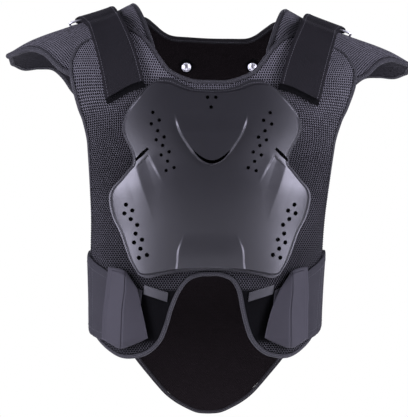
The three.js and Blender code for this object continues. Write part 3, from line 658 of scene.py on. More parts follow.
def cloth_map(face, turn, up):
    """Distances in metres round the body and down it, with the bend over the shoulder unrolled."""
    turns = np.linspace(-math.pi / 2, math.pi / 2, MAP_STEPS)
    length = running_length(body_point(face, turns, np.full(MAP_STEPS, MAP_HEIGHT)))
    rise = np.clip(1 + (up - ridge(width_at(up) * np.sin(turn))) / SHOULDER_RISE, 0, 1)
    down = up + SHOULDER_RISE * (np.arcsin(rise) - rise)
    spread = width_at(up) / width_at(MAP_HEIGHT)
    return np.stack([np.interp(turn, turns, length) * spread, down], axis=-1).reshape(-1, 2)


def panel_grid(face, rows, length, lift, swell=0.0, shade=None):
    """Points ruled from the top line to the foot line, raised by a low pillow, and their cloth map."""
    steps = np.linspace(0, 1, len(rows))
    column = columns_of([{**row, "step": step} for row, step in zip(rows, steps)], "step")
    a, b = share_grid(*PANEL_SIZE, start=-1)
    across = np.abs(a)
    top_out, foot_out = (np.clip(column[name](across), 0, 1) for name in ("top_out", "foot_out"))
    top_up = ridge(top_out * width_at(0)) - SHOULDER_RISE * column["top_drop"](across)
    foot_up = -length * column["foot_down"](across)
    down = b**ROW_CROWDING
    turn = mix(np.arcsin(top_out), np.arcsin(foot_out), down) * np.sign(a)
    up = mix(top_up, foot_up, down)
    edge = np.minimum(ease((1 - across) * 14), ease(np.minimum(down, 1 - down) * 22))
    pillow = swell + (shade(turn, up) if shade else 0)
    return on_body(face, turn, up, lift + pillow * edge), cloth_map(face, turn, up)


def wrinkles(strength, seed):
    """Soft uneven padding: a few slow waves with seeded directions."""
    draw = np.random.default_rng(seed)
    waves = [(draw.uniform(20, 70), draw.uniform(20, 70), draw.uniform(0, 6.3)) for _ in range(6)]

    def height(turn, up):
        x = width_at(up) * np.sin(turn)
        return strength * sum(np.sin(a * x + b * up + c) for a, b, c in waves) / len(waves)

    return height


def rim_distance(piece, grid):
    """Stores with each point its distance in metres from the border of the sheet."""
    flat = grid.reshape(-1, 3)
    border = flat[border_of(*grid.shape[:2])][::2]
    squares = [((part[:, None] - border) ** 2).sum(axis=2).min(axis=1) for part in np.array_split(flat, 60)]
    nearest = np.sqrt(np.concatenate(squares))
    layer = piece.data.attributes.new("rim", "FLOAT", "POINT")
    layer.data.foreach_set("value", np.concatenate([nearest, nearest]))


def line_inside(piece, shape, lining):
    """The inner face of a sheet is its first block of quads, and it takes a second material."""
    piece.data.materials.append(lining)
    index = np.zeros(len(piece.data.polygons), np.int32)
    index[:(shape[0] - 1) * (shape[1] - 1)] = 1
    piece.data.polygons.foreach_set("material_index", index)


def padded_sheet(name, inner, outer, flat, cloth, lining, node):
    """Cloth outside, lining inside and padding between."""
    piece = sheet(name, inner, outer, flat)
    finish_piece(piece, cloth, "air_mesh", node)
    line_inside(piece, inner.shape, lining)
    rim_distance(piece, outer)


front_inner, front_map = panel_grid(-1, front_rows, FRONT_LENGTH, FRONT_INNER)
front_outer, _ = panel_grid(-1, front_rows, FRONT_LENGTH, FRONT_OUTER, 0.3 * MM, wrinkles(0.5 * MM, 3))
padded_sheet("front_cloth", front_inner, front_outer, front_map, FRONT_MESH, LINING, "front_panel")

back_inner, back_map = panel_grid(1, back_rows, TAIL_LENGTH, 0.0)
back_outer, _ = panel_grid(1, back_rows, TAIL_LENGTH, BACK_THICKNESS, 0.8 * MM, wrinkles(0.8 * MM, 5))
padded_sheet("back_cloth", back_inner, back_outer, back_map, AIR_MESH, SHADED_BACK_CLOTH, "back_panel")

# %% [markdown]
# The edges are bound: a folded tape wraps the raw edge and is stitched through. Its section is a
# round-nosed bar that follows the border, standing a little prouder than the cloth.

# %% Tape round an edge
TAPE_STEP, TAPE_POINTS, TAPE_POWER = 3 * MM, 15, 0.7


def spaced(points, step):
    """Evenly spaced places along a closed line, as indices with fractions."""
    total = running_length(np.concatenate([points, points[:1]]))
    count = int(total[-1] / step)
    return np.interp(np.arange(count) * total[-1] / count, total, np.arange(len(total)))


def sample(values, places):
    """Values of a closed line at places between its points."""
    low = np.floor(places).astype(int)
    return mix(values[low % len(values)], values[(low + 1) % len(values)], (places - low)[:, None])


def smoothed(values, passes):
    for _ in range(passes):
        values = (np.roll(values, 1, axis=0) + 2 * values + np.roll(values, -1, axis=0)) / 4
    return values


def rim_of(inner, outer):
    """Centre, normal, outward direction and half thickness along the border, evenly spaced."""
    border = border_of(*inner.shape[:2])
    low, high = inner.reshape(-1, 3)[border], outer.reshape(-1, 3)[border]
    places = spaced((low + high) / 2, TAPE_STEP)
    centre = sample((low + high) / 2, places)
    through_cloth = sample(high - low, places)
    normal = unit(smoothed(through_cloth, 1))
    half = np.linalg.norm(through_cloth, axis=1, keepdims=True) / 2
    ahead = smoothed(unit(np.roll(centre, -1, axis=0) - np.roll(centre, 1, axis=0)), 2)
    out = unit(np.cross(ahead, normal))
    turning = np.einsum("ij,ij->", np.cross(out, np.roll(out, -1, axis=0)), normal)
    return centre, normal, out * np.sign(turning), half


def tape_round(name, inner, outer, node, material=TAPE):
    """A bar with a superellipse nose: its reach and its height fall off together."""
    centre, normal, out, half = rim_of(inner, outer)
    turn = np.linspace(-math.pi / 2, math.pi / 2, TAPE_POINTS)[:, None]
    start = 0.6 * TAPE_GAP
    reach = out[:, None] * mix(start, TAPE_WIDTH, signed_power(np.cos(turn), TAPE_POWER))
    rise = (normal * (half + TAPE_PROUD))[:, None] * signed_power(np.sin(turn), TAPE_POWER)
    finish_piece(sweep(name, centre[:, None] + reach + rise), material, "binding_tape", node)


tape_round("front_tape", front_inner, front_outer, "front_binding")
tape_round("back_tape", back_inner, back_outer, "back_binding", SHADED_BACK_TAPE)

# %% [markdown]
# Stitches are too small to see one by one from afar, but a row of them gives an edge its scale.
# Each is a short bar, thicker in its middle, and a whole row is made in one mesh.

# %% Rows of stitches
STITCH_STEP, STITCH_LENGTH, STITCH_RADIUS = 3.4 * MM, 2.3 * MM, 0.38 * MM
STITCH_SIDES, STITCH_RINGS = 6, ((-0.5, 0.35), (-0.22, 1.0), (0.22, 1.0), (0.5, 0.35))


def stitch_row(name, line, normals, closed, slot="binding_tape", size=1.0):
    """Bars at even steps along a line: four rings of six points each, for all stitches at once."""
    if closed:
        line, normals = (np.concatenate([values, values[:1]]) for values in (line, normals))
    total = running_length(line)
    count = int(total[-1] / STITCH_STEP)
    places = (np.arange(count) + 0.5) * total[-1] / count
    index = np.interp(places, total, np.arange(len(total)))
    low = np.minimum(np.floor(index).astype(int), len(line) - 2)
    part = (index - low)[:, None]
    centre = mix(line[low], line[low + 1], part)[:, None]
    normal = unit(mix(normals[low], normals[low + 1], part))
    along = unit(line[low + 1] - line[low])
    circle = size * STITCH_RADIUS * circle_on(np.cross(along, normal), normal, STITCH_SIDES)
    rings = [centre + step * STITCH_LENGTH * along[:, None] + wide * circle for step, wide in STITCH_RINGS]
    points = np.stack(rings, axis=1).reshape(-1, 3)
    foot = np.array([[1, 2, 5, 0], [3, 4, 5, 2]])
    head = foot[:, ::-1] + STITCH_SIDES * (len(STITCH_RINGS) - 1)
    one = np.concatenate([ring_quads(len(STITCH_RINGS), STITCH_SIDES, False), foot, head])
    first = np.arange(count) * STITCH_SIDES * len(STITCH_RINGS)
    quads = (one + first[:, None, None]).reshape(-1, 4)
    finish_piece(object_from(name, points, quads, np.zeros((len(points), 2))), THREAD, slot)


def tape_stitches(name, inner, outer, faces=(1,)):
    centre, normal, out, half = rim_of(inner, outer)
    for face in faces:
        row = centre + out * 2.8 * MM + face * normal * (half + TAPE_PROUD) * 0.96
        stitch_row(f"{name}_{'out' if face > 0 else 'in'}", row, face * normal, True)


tape_stitches("front_stitches", front_inner, front_outer)
tape_stitches("back_stitches", back_inner, back_outer, faces=(-1, 1))

# %% [markdown]
# ## Shoulders
# A shoulder pad is a padded leaf of the same mesh. It runs from the chest over the shoulder to
# the back and ends in a cap over the arm. A table gives its two ends as angles over the shoulder.

# %% Shoulder pads
NECK_FLARE = 27 * MM
pad = columns_of(table(
    "step out front rear",
    (0.00, 0.374, 22, 156), (0.10, 0.445, 20, 159), (0.22, 0.530, 20, 161), (0.36, 0.630, 25, 164),
    (0.46, 0.690, 29, 156), (0.56, 0.738, 37, 144), (0.66, 0.790, 50, 134), (0.78, 0.860, 63, 128),
    (0.89, 0.925, 70, 122), (1.00, 0.970, 80, 109),
), "step")


PAD_SIZE, FORWARD_SPAN = (121, 151), 68


def pad_grid(side, lift, swell=0.0, shade=None):
    """Points over the shoulder, raised by a low pillow, and their cloth map."""
    a, b = share_grid(*PAD_SIZE)
    degrees = mix(pad["front"](a), pad["rear"](a), b)
    angle = np.radians(degrees)
    forward = np.maximum(0, (90 - degrees) / FORWARD_SPAN)
    x = pad["out"](a) * SHOULDER_SPAN - NECK_FLARE * forward**1.3 * (1 - a) ** 4
    edge = ease(np.minimum(a, 1 - a) * 14) * ease(np.minimum(b, 1 - b) * 16)
    pillow = swell + (shade(x / HALF_WIDTH, ridge(x) + SHOULDER_RISE * np.sin(angle)) if shade else 0)
    flat = np.stack([side * x, angle * SHOULDER_RISE], axis=-1).reshape(-1, 2)
    return on_shoulder(side * x, angle, lift + edge * pillow), flat


for word, side in SIDES.items():
    inner, flat = pad_grid(side, PAD_INNER)
    outer, _ = pad_grid(side, PAD_OUTER, 0.2 * MM, wrinkles(1.0 * MM, 7))
    padded_sheet(f"pad_cloth_{word}", inner, outer, flat, AIR_MESH, LINING, f"shoulder_pad_{word}")
    tape_stitches(f"pad_stitches_{word}", inner, outer)
    tape_round(f"pad_tape_{word}", inner, outer, f"shoulder_binding_{word}")

# %% [markdown]
# The wide strap comes up from the chest, turns round the front bar of a wire loop on the ridge and
# goes back down over itself to its free end, where it presses onto a patch of hook cloth. Behind
# the loop a short tab does the same on the other bar. Both bands are one folded line of stations.

# %% Lines of the folded bands
STRAP_WIDTH, STRAP_THICKNESS = 52 * MM, 2 * MM
STRAP_TILT, STRAP_SKEW = math.radians(24), math.radians(-3)
STRAP_TOP_OUT, STRAP_FOOT_OUT, STRAP_FOOT_ANGLE, LOOP_ANGLE = 152 * MM, 110 * MM, 3, 97
PANEL_END_ANGLE, BAND_ROWS = 45, 41
LOW_STEPS, BEND_STEPS, HIGH_STEPS, HIGH_PLACE = 70, 25, 80, 40
LOOP_WIRE, LOOP_SPAN, LOOP_DEPTH, LOOP_POWER = 1.6 * MM, 64 * MM, 13 * MM, 0.25
LOOP_STATIONS, WIRE_SIDES = 96, 12
HOOK_SHOW, HOOK_LENGTH, TAB_WIDTH, TAB_LENGTH = 6 * MM, 38 * MM, 0.72, 40 * MM
BAR_LIFT = OVER_PAD + STRAP_THICKNESS + LAYER_GAP + LOOP_WIRE
PER_DEGREE = math.radians(SHOULDER_RISE * 0.62)
BAR_ANGLE = LOOP_DEPTH / 2 / PER_DEGREE


def as_degrees(length):
    return math.degrees(length / SHOULDER_RISE)


def strap_line(angle):
    return mix(STRAP_FOOT_OUT, STRAP_TOP_OUT, (angle - STRAP_FOOT_ANGLE) / (90 - STRAP_FOOT_ANGLE))


def under_strap(angle):
    """What lies under a band: the front panel low down, the pad at the ridge."""
    return mix(OVER_FRONT, OVER_PAD, ease((angle - PANEL_END_ANGLE) / 20))


def band_point(side, angle, across, lift):
    slant = STRAP_WIDTH / 2 * math.sin(STRAP_SKEW) / math.radians(SHOULDER_RISE)
    lean = np.clip((90 - angle) / 30, 0, 1)
    x = strap_line(angle) + across * STRAP_WIDTH / 2 * np.cos(STRAP_TILT * lean)
    return on_shoulder(side * x, np.radians(angle - across * slant * lean), lift)


def folded_line(low_end, fold_angle, free_end):
    """Angles and lifts: up below the bar, half a circle round it, and back above."""
    radius = LOOP_WIRE + LAYER_GAP / 2
    away = np.sign(fold_angle - low_end)
    low = np.linspace(low_end, fold_angle, LOW_STEPS)[:-1]
    turn = np.linspace(0, math.pi, BEND_STEPS)
    bend = fold_angle + away * radius * np.sin(turn) / PER_DEGREE
    high = np.linspace(fold_angle, free_end, HIGH_STEPS)[1:]
    near = ease(1 - np.abs(high - fold_angle) / 22)
    lying = under_strap(high) + STRAP_THICKNESS + 3 * LAYER_GAP
    angles = np.concatenate([low, bend, high])
    settling = np.linspace(0, 1, len(low)) ** 6
    rise = mix(under_strap(low) + STRAP_THICKNESS, BAR_LIFT - radius, settling)
    lifts = np.concatenate([rise, BAR_LIFT - radius * np.cos(turn), mix(lying, BAR_LIFT + radius, near)])
    return angles, lifts


def band(name, side, line, width, node):
    """A folded band with stitched edges. Its thickness is on the side that faces up on the free end."""
    angles, lifts = line
    a, b = np.meshgrid(angles, np.linspace(-width, width, BAND_ROWS), indexing="ij")
    grid = band_point(side, a, b, np.repeat(lifts[:, None], BAND_ROWS, axis=1))
    normal = grid_normals(grid)
    normal = normal * np.sign(normal[len(angles) // 2 + HIGH_PLACE, BAND_ROWS // 2, 2])
    thinning = 0.75 * np.abs(np.linspace(-1, 1, BAND_ROWS)) ** 24
    inner = grid + normal * (0.5 * thinning * STRAP_THICKNESS)[:, None]
    outer = grid + normal * ((1 - 0.5 * thinning) * STRAP_THICKNESS)[:, None]
    piece = sheet(name, inner, outer)
    for word, row in (("near", 3), ("far", BAND_ROWS - 4)):
        edge = grid[:, row] + normal[:, row] * STRAP_THICKNESS
        stitch_row(f"{name}_stitches_{word}", edge, normal[:, row], False, "webbing")
    finish_piece(piece, WEBBING, "webbing", node)


# %% [markdown]
# The strap's hidden end stops just above its hook patch. Its free end covers the patch, all but a
# narrow strip at the foot. The tab behind the loop is shorter and narrower.

# %% Straps, hook patches and tabs
hook_top = STRAP_FOOT_ANGLE + as_degrees(HOOK_LENGTH)
hook_foot = STRAP_FOOT_ANGLE - as_degrees(HOOK_SHOW)
strap = folded_line(hook_top + as_degrees(LAYER_GAP), LOOP_ANGLE - BAR_ANGLE, STRAP_FOOT_ANGLE)
rear, reach = LOOP_ANGLE + BAR_ANGLE, as_degrees(TAB_LENGTH)
tab = folded_line(rear + reach, rear, rear + reach * 0.8)
for word, side in SIDES.items():
    band(f"strap_band_{word}", side, strap, 1.0, f"shoulder_strap_{word}")
    band(f"tab_band_{word}", side, tab, TAB_WIDTH, f"loop_tab_{word}")
    a, b = np.meshgrid(np.linspace(hook_foot, hook_top, 49), np.linspace(-1, 1, BAND_ROWS), indexing="ij")
    under = under_strap(STRAP_FOOT_ANGLE)
    lower, upper = (band_point(side, a, b, lift) for lift in (under, under + STRAP_THICKNESS))
    finish_piece(sheet(f"hook_patch_{word}", lower, upper), HOOK, "hook_cloth", f"strap_hook_{word}")


# %% [markdown]
# The loop is one bright wire bent into a rectangle with rounded corners. A superellipse gives the
# rectangle, and a small circle is carried round it.

# %% Wire loops
for word, side in SIDES.items():
    turn = np.linspace(0, 2 * math.pi, LOOP_STATIONS, endpoint=False)
    along = signed_power(np.cos(turn), LOOP_POWER) * LOOP_SPAN / 2
    angle = np.radians(LOOP_ANGLE + signed_power(np.sin(turn), LOOP_POWER) * BAR_ANGLE)
    x = side * (strap_line(LOOP_ANGLE) + along)
    middle, above = (on_shoulder(x, angle, np.full_like(x, lift)) for lift in (BAR_LIFT, BAR_LIFT + MM))
    normal = unit(above - middle)
    forward = unit(np.roll(middle, -1, axis=0) - np.roll(middle, 1, axis=0))
    circle = circle_on(unit(np.cross(forward, normal)), normal, WIRE_SIDES)
    wire = sweep(f"wire_loop_{word}", middle[:, None] + LOOP_WIRE * circle)
    finish_piece(wire, METAL, "bright_metal", f"strap_loop_{word}")

# %% [markdown]
# ## Chest plate
# The chest plate is moulded in one piece. It has a thin flat flange, where it is stitched to the
# panel, and a domed body with a raised shield in the middle and a scoop at each side. The relief
# is a height added to the plate's own curved surface, so its steps can be as sharp as real ones.

# %% Outline and relief of the plate
PLATE_TOP, PLATE_LENGTH, PLATE_HALF_WIDTH, PLATE_THICKNESS = 123 * MM, 229 * MM, 133 * MM, 2.6 * MM
PLATE_FLANGE, PLATE_DOME, SHIELD_RISE, SCOOP_DEPTH = 4 * MM, 15 * MM, 3.5 * MM, 1.8 * MM
BODY_RISE, RIDGE_RISE, RIB_RISE = 2 * MM, 2 * MM, 1.8 * MM
PLATE_SIZE, PLATE_SHARP = (213, 213), 40
plate_half = through(table(
    "down half",
    (0.000, 0.500), (0.030, 0.640), (0.070, 0.740), (0.120, 0.838), (0.180, 0.878), (0.245, 0.846),
    (0.330, 0.778), (0.390, 0.770), (0.430, 0.827), (0.470, 0.885), (0.525, 0.975), (0.580, 1.000),
    (0.690, 0.963), (0.790, 0.885), (0.930, 0.788), (1.000, 0.700),
), "down", "half")
plate_ends = columns_of(table(
    "across rise fall",
    (0.00, 0.000, 0.012), (0.30, 0.006, 0.018), (0.51, 0.024, 0.027), (0.70, 0.054, 0.041),
    (0.88, 0.060, 0.055), (1.00, 0.056, 0.036),
), "across")
shield_half = through(table(
    "down half", (0.03, 0.40), (0.144, 0.355), (0.208, 0.315), (0.278, 0.250), (0.336, 0.180),
    (0.375, 0.115), (0.395, 0.060), (0.406, 0.000),
), "down", "half")
rib_half = through(table(
    "down half", (0.80, 0.270), (0.844, 0.295), (0.890, 0.325), (0.959, 0.335), (1.00, 0.350),
), "down", "half")
SCOOP_REACH = 15 * MM
SCOOP_CORNERS = np.array([(0.735, 0.405), (0.615, 0.338), (0.465, 0.500), (0.560, 0.715)])


def inside_scoop(across, down):
    """Distances in metres inside each of the scoop's edges, and the share of the way up its crease."""
    size = np.array([PLATE_HALF_WIDTH, PLATE_LENGTH])
    corners = SCOOP_CORNERS * size
    place = np.stack(np.broadcast_arrays(np.abs(across), down), axis=-1) * size
    away = []
    for start, end in zip(corners, np.roll(corners, -1, axis=0)):
        along = unit(end - start)
        away.append((place - start) @ np.array([along[1], -along[0]]))
    rise = corners[0] - corners[3]
    return away, (place - corners[3]) @ rise / (rise @ rise)


def plate_relief(across, down):
    """Height above the flange, in metres: dome, shield, scoops and the two low ribs."""
    wide = np.abs(across)
    half = plate_half(down)
    inward = np.minimum((half - wide) * PLATE_HALF_WIDTH, np.minimum(down, 1 - down) * PLATE_LENGTH)
    body = ease((inward - 0.6 * PLATE_FLANGE) / (0.5 * PLATE_FLANGE))
    power = mix(2.6, 2.0, ease((down - 0.2) / 0.25))
    arch = np.sin(math.pi * np.clip(0.07 + 0.83 * down, 0, 1))
    dome = PLATE_DOME * np.maximum(0, 1 - (wide / half) ** power) * arch
    edge = ease((shield_half(down) - wide) * PLATE_HALF_WIDTH / (2.2 * MM))
    shield = edge * ease((down - 0.12) / 0.10)
    (slot_edge, wall, foot, crease), up_crease = inside_scoop(across, down)
    scoop = ease(np.minimum(slot_edge, wall) / (1.2 * MM)) * np.clip(crease / SCOOP_REACH, 0, 1)
    scoop = scoop * np.clip(foot / (2 * SCOOP_REACH), 0, 1)
    within = np.clip(foot / np.maximum(foot + crease, MM), 0, 1) * ease(1 + wall / SCOOP_REACH)
    beside = np.where(crease > 0, within, np.maximum(0, 1 + crease / SCOOP_REACH))
    ridge_up = np.clip(up_crease, 0, 1) * ease((1.2 - up_crease) / 0.2) * beside
    rib = ease((rib_half(down) - wide) * PLATE_HALF_WIDTH / (2.0 * MM)) * ease((down - 0.79) / 0.15)
    raised = SHIELD_RISE * shield + RIDGE_RISE * ridge_up - SCOOP_DEPTH * scoop + RIB_RISE * rib
    return body * (BODY_RISE + dome + raised)


def plate_point(across, down, lift):
    return at_width(-1, across * PLATE_HALF_WIDTH, -PLATE_TOP - down * PLATE_LENGTH, OVER_FRONT + lift)


def plate_place(a, b):
    """Across and down of a grid place: the table's half width, and ends that are not level."""
    s = 2 * a - 1
    top = plate_ends["rise"](np.abs(s)) * np.maximum(0, 1 - b / 0.25) ** 2
    foot = plate_ends["fall"](np.abs(s)) * np.maximum(0, 1 - (1 - b) / 0.25) ** 2
    return s * plate_half(b), b, b - top + foot


def plate_grid(lift):
    a, b = share_grid(*PLATE_SIZE)
    across, level, down = plate_place(a, b)
    return plate_point(across, down, lift + plate_relief(across, level))


plate = sheet("moulded_plate", plate_grid(0.0), plate_grid(PLATE_THICKNESS), sharp=PLATE_SHARP)


def plate_border(inset, count=161):
    """Points on the plate's face at one distance inside its outline, and their normals."""
    t = np.linspace(0, 1, count)[:-1]
    one, nil = np.ones_like(t), np.zeros_like(t)
    a = np.concatenate([t, one, 1 - t, nil])
    b = np.concatenate([nil, t, one, 1 - t])
    a = 0.5 + (a - 0.5) * (1 - inset / PLATE_HALF_WIDTH)
    b = 0.5 + (b - 0.5) * (1 - 2 * inset / PLATE_LENGTH)
    across, level, down = plate_place(a, b)
    relief = plate_relief(across, level)
    face = plate_point(across, down, relief + PLATE_THICKNESS)
    return face, unit(face - plate_point(across, down, relief))


stitch_row("plate_stitches", *plate_border(2.0 * MM), True, "moulded_plastic", 1.7)

# %% [markdown]
# Air passes through small round holes that go down the plate in a zigzag of threes, through a
# crescent under the shield, and through a short slot above each scoop. Each hole is a round
# cutter that follows the plate's normal. All are joined and taken away in one step.

# %% Vent holes and slots
HOLE_RADIUS, LOW_HOLE_RADIUS, SLOT_WIDTH, HOLES_IN_RUN = 2.3 * MM, 2.9 * MM, 3.8 * MM, 12
STEP_IN, STEP_OUT = (0.0635, 0.0365), (-0.078, 0.0158)


def hole_run(across, down, missing):
    """A zigzag going down: two steps inward, then one outward, again and again."""
    places = []
    for k in range(HOLES_IN_RUN):
        if k != missing:
            places.append((across, down))
        step = STEP_OUT if k % 3 == 1 else STEP_IN
        across, down = across + step[0], down + step[1]
    return places


def drills(places, radius, sides=20, reach=14 * MM):
    """Round bars through the plate, each as a ring below it and a ring above it."""
    across, down = np.array(places).T
    lift = plate_relief(across, down)
    middle = plate_point(across, down, lift)
    axis = unit(plate_point(across, down, lift + reach) - middle)
    rings = middle[:, None] + radius * circle_round(axis, sides)
    return [np.stack([ring - n * reach, ring + n * reach]) for ring, n in zip(rings, axis)]


def slot_bar(start, bend, end, width=1.0, blunt=0.05, sides=33):
    """A slot along a bent line, narrowing to its ends, drawn through from the front."""
    size = np.array([PLATE_HALF_WIDTH, -PLATE_LENGTH])
    start, bend, end = (np.array(place) * size - (0, PLATE_TOP) for place in (start, bend, end))
    t = np.linspace(0, 1, sides)[:, None]
    line = (1 - t) ** 2 * start + 2 * t * (1 - t) * bend + t**2 * end
    along = unit(np.gradient(line, axis=0))
    taper = width * SLOT_WIDTH / 2 * np.sqrt(np.maximum(blunt, np.sin(math.pi * t)))
    out = np.stack([-along[:, 1], along[:, 0]], axis=1) * taper
    ring = np.concatenate([line + out, (line - out)[::-1]])
    return np.stack([stack(ring[:, 0], y, ring[:, 1]) for y in (-200 * MM, 0.0)])


def cutter_from(bars):
    """All bars as one closed object with its faces turned out."""
    pieces = []
    for bar in bars:
        sides = bar.shape[1]
        m = np.arange(sides)
        n = (m + 1) % sides
        mesh = bpy.data.meshes.new("cutter")
        faces = np.stack([m, n, n + sides, m + sides], axis=1).tolist()
        caps = [list(range(sides))[::-1], list(range(sides, 2 * sides))]
        mesh.from_pydata(settle(bar.reshape(-1, 3)).tolist(), [], faces + caps)
        pieces.append(add_object("cutter", mesh))
    cutter = joined("cutters", pieces)
    cutter.data.validate()
    shape = bmesh.new()
    shape.from_mesh(cutter.data)
    bmesh.ops.recalc_face_normals(shape, faces=shape.faces)
    shape.to_mesh(cutter.data)
    shape.free()
    return cutter


def mirrored(places):
    return places + [(-across, down) for across, down in places]


NECK_HOLES = [(-0.034, 0.042), (0.046, 0.042), (0.0, 0.092)]
high = mirrored(hole_run(-0.570, 0.113, -1)) + NECK_HOLES
low = mirrored(hole_run(-0.828, 0.620, 5))
bars = drills(high, HOLE_RADIUS) + drills(low, LOW_HOLE_RADIUS)
bars.append(slot_bar((-0.175, 0.338), (0.0, 0.466), (0.175, 0.338), width=1.15))
SCOOP_SLOT = np.array([(0.745, 0.390), (0.684, 0.357), (0.622, 0.323)])
for side in (-1, 1):
    bars.append(slot_bar(*(SCOOP_SLOT * (side, 1)), width=1.25, blunt=0.6))
cutter = cutter_from(bars)
cut = plate.modifiers.new("vents", "BOOLEAN")
cut.operation, cut.solver, cut.object = "DIFFERENCE", "EXACT", cutter
with bpy.context.temp_override(active_object=plate, object=plate, selected_objects=[plate]):
    bpy.ops.object.modifier_apply(modifier="vents")
bpy.data.objects.remove(cutter)
finish_piece(plate, PLATE, "moulded_plastic", "chest_plate")
plate.data.set_sharp_from_angle(angle=math.radians(PLATE_SHARP))
print("vents:", len(bars))

# %% [markdown]
# ## Belt, side plates and waist straps
# The belt comes from the front, goes round the side in a straight stretch, and ends behind on the
# back panel. Its cloth is plain and thick, with a seam where its two halves meet.

# %% Belts
BELT_THICKNESS, BELT_HEIGHT, BELT_FOOT, BELT_END, BELT_TAIL = 3.5 * MM, 100 * MM, 447 * MM, 94 * MM, 50
BELT_SIZE, FRONT_SHARE, BACK_SHARE = (181, 41), 0.5, 0.66
QUARTER = math.pi / 2
belt_edges = columns_of(table(
    "along top foot",
    (0.00, 0.34, -0.03), (0.12, 0.22, -0.04), (0.25, 0.05, -0.02), (0.50, -0.14, 0.07), (1.00, -0.14, 0.08),
), "along")


def belt_point(side, along, up, lift):
    """Three stretches in a row: on the front, from front to back, and on the back."""
    start = np.arcsin(BELT_END / (width_at(up) + OVER_FRONT))
    turn = mix(start, QUARTER, np.clip(along / FRONT_SHARE, 0, 1))
    front = on_body(-1, side * turn, up, OVER_FRONT + lift)
    turn = mix(QUARTER, math.radians(BELT_TAIL), np.clip((along - BACK_SHARE) / (1 - BACK_SHARE), 0, 1))
    back = on_body(1, side * turn, up, OVER_BACK + lift)
    s = np.clip((along - FRONT_SHARE) / (BACK_SHARE - FRONT_SHARE), 0, 1)
    here = on_body(-1, side * QUARTER + 0 * up, up, OVER_FRONT + lift)
    there = on_body(1, side * QUARTER + 0 * up, up, OVER_BACK + lift)
    x = mix(here[..., 0], there[..., 0], ease((s - 0.15) / 0.7))
    middle = stack(x, mix(here[..., 1], there[..., 1], s), up)
    place = np.where((along <= FRONT_SHARE)[..., None], front, middle)
    return np.where((along >= BACK_SHARE)[..., None], back, place)


def belt_grid(side, lift, inset=0.0):
    a, b = share_grid(*BELT_SIZE)
    top = -BELT_FOOT + BELT_HEIGHT * (1 - belt_edges["top"](a))
    foot = -BELT_FOOT + BELT_HEIGHT * belt_edges["foot"](a)
    edge = np.minimum(np.minimum(b, 1 - b) * 26, np.minimum(a, 1 - a) * 80)
    seam = np.exp(-(((a - 0.36) / 0.006) ** 2)) * 0.8 * MM
    shape = -inset * (1 - ease(edge)) - seam * (inset > 0)
    return belt_point(side, a, mix(top, foot, b), lift + shape)


for word, side in SIDES.items():
    belt = sheet(f"belt_band_{word}", belt_grid(side, 0.0), belt_grid(side, BELT_THICKNESS, inset=1.0 * MM))
    finish_piece(belt, BELT, "webbing", f"waist_belt_{word}")
    face = belt_grid(side, BELT_THICKNESS)
    out = unit(face - belt_grid(side, 0.0))
    for place, row in (("top", 4), ("foot", 36)):
        stitch_row(f"belt_stitches_{place}_{word}", face[2:-2, row], out[2:-2, row], False, "webbing")
    for place, column in (("seam", 62), ("fold", 68)):
        stitch_row(f"belt_stitches_{place}_{word}", face[column, 4:37], out[column, 4:37], False, "webbing")

# %% [markdown]
# The side plate is a hard moulded shell with a crease down its middle, so that it turns with the
# waist. Its edge is rounded over. A groove runs down the crease, and a thinner flange runs along
# the top and the outer edge.

# %% Side plates
GUARD_HEIGHT, GUARD_WIDTH, GUARD_CENTRE, GUARD_TOP = 103 * MM, 58 * MM, 106 * MM, 352 * MM
GUARD_THICKNESS, GUARD_CREASE, GUARD_ROUNDING, GUARD_SIZE = 3 * MM, 6 * MM, 1.8 * MM, (97, 91)
GROOVE_DEPTH, FLANGE_DEPTH, FLANGE_WIDTH = 1.3 * MM, 1.7 * MM, 3.4 * MM
GUARD_INNER = OVER_FRONT + BELT_THICKNESS + LAYER_GAP
guard = columns_of(table(
    "step top_out top_down foot_out foot_down",
    (0.00, 0.45, -0.02, 0.54, 0.925), (0.15, 0.28, -0.01, 0.36, 0.975), (0.50, 0.06, 0.035, 0.09, 1.035),
    (0.80, -0.07, 0.135, -0.28, 0.955), (1.00, -0.21, 0.255, -0.510, 0.890),
), "step")


def guard_grid(side, lift, rounding=0.0):
    """Points of one face; rounding above 0 is the outside, with its groove and its flange."""
    a, b = share_grid(*GUARD_SIZE)
    top = GUARD_CENTRE + GUARD_WIDTH * guard["top_out"](a)
    foot = GUARD_CENTRE + GUARD_WIDTH * guard["foot_out"](a)
    bulge = GUARD_WIDTH * 0.05 * np.sin(math.pi * b) * (a - 0.5)
    down = mix(guard["top_down"](a), guard["foot_down"](a), b)
    crease = GUARD_CREASE * (1 - 2 * np.abs(a - 0.5)) * ease(6 * np.minimum(b, 1 - b) + 0.3)
    groove = GROOVE_DEPTH * np.exp(-(((a - 0.5) / 0.020) ** 2))
    from_edge = np.minimum(a * GUARD_WIDTH, b * GUARD_HEIGHT)
    flange = FLANGE_DEPTH * (1 - ease((from_edge - FLANGE_WIDTH) / (1.0 * MM)))
    edge = np.minimum(np.minimum(a, 1 - a) * 22, np.minimum(b, 1 - b) * 36)
    rounded = rounding * (1 - np.sqrt(np.clip(edge * (2 - edge), 0, 1) * (edge < 1) + (edge >= 1)))
    sunk = rounded + (groove + flange) * (rounding > 0)
    x = side * (mix(top, foot, b) - bulge)
    return at_width(-1, x, -GUARD_TOP - GUARD_HEIGHT * down, GUARD_INNER + crease + lift - sunk)


for word, side in SIDES.items():
    outside = guard_grid(side, GUARD_THICKNESS, GUARD_ROUNDING)
    shell = sheet(f"guard_{word}", guard_grid(side, 0.0), outside, sharp=50)
    finish_piece(shell, GUARD, "guard_plastic", f"side_plate_{word}")

# %% [markdown]
# A narrow satin strap joins the belt to the edge of the arch. It lies flat on the panel and
# slopes down a little towards the arch.

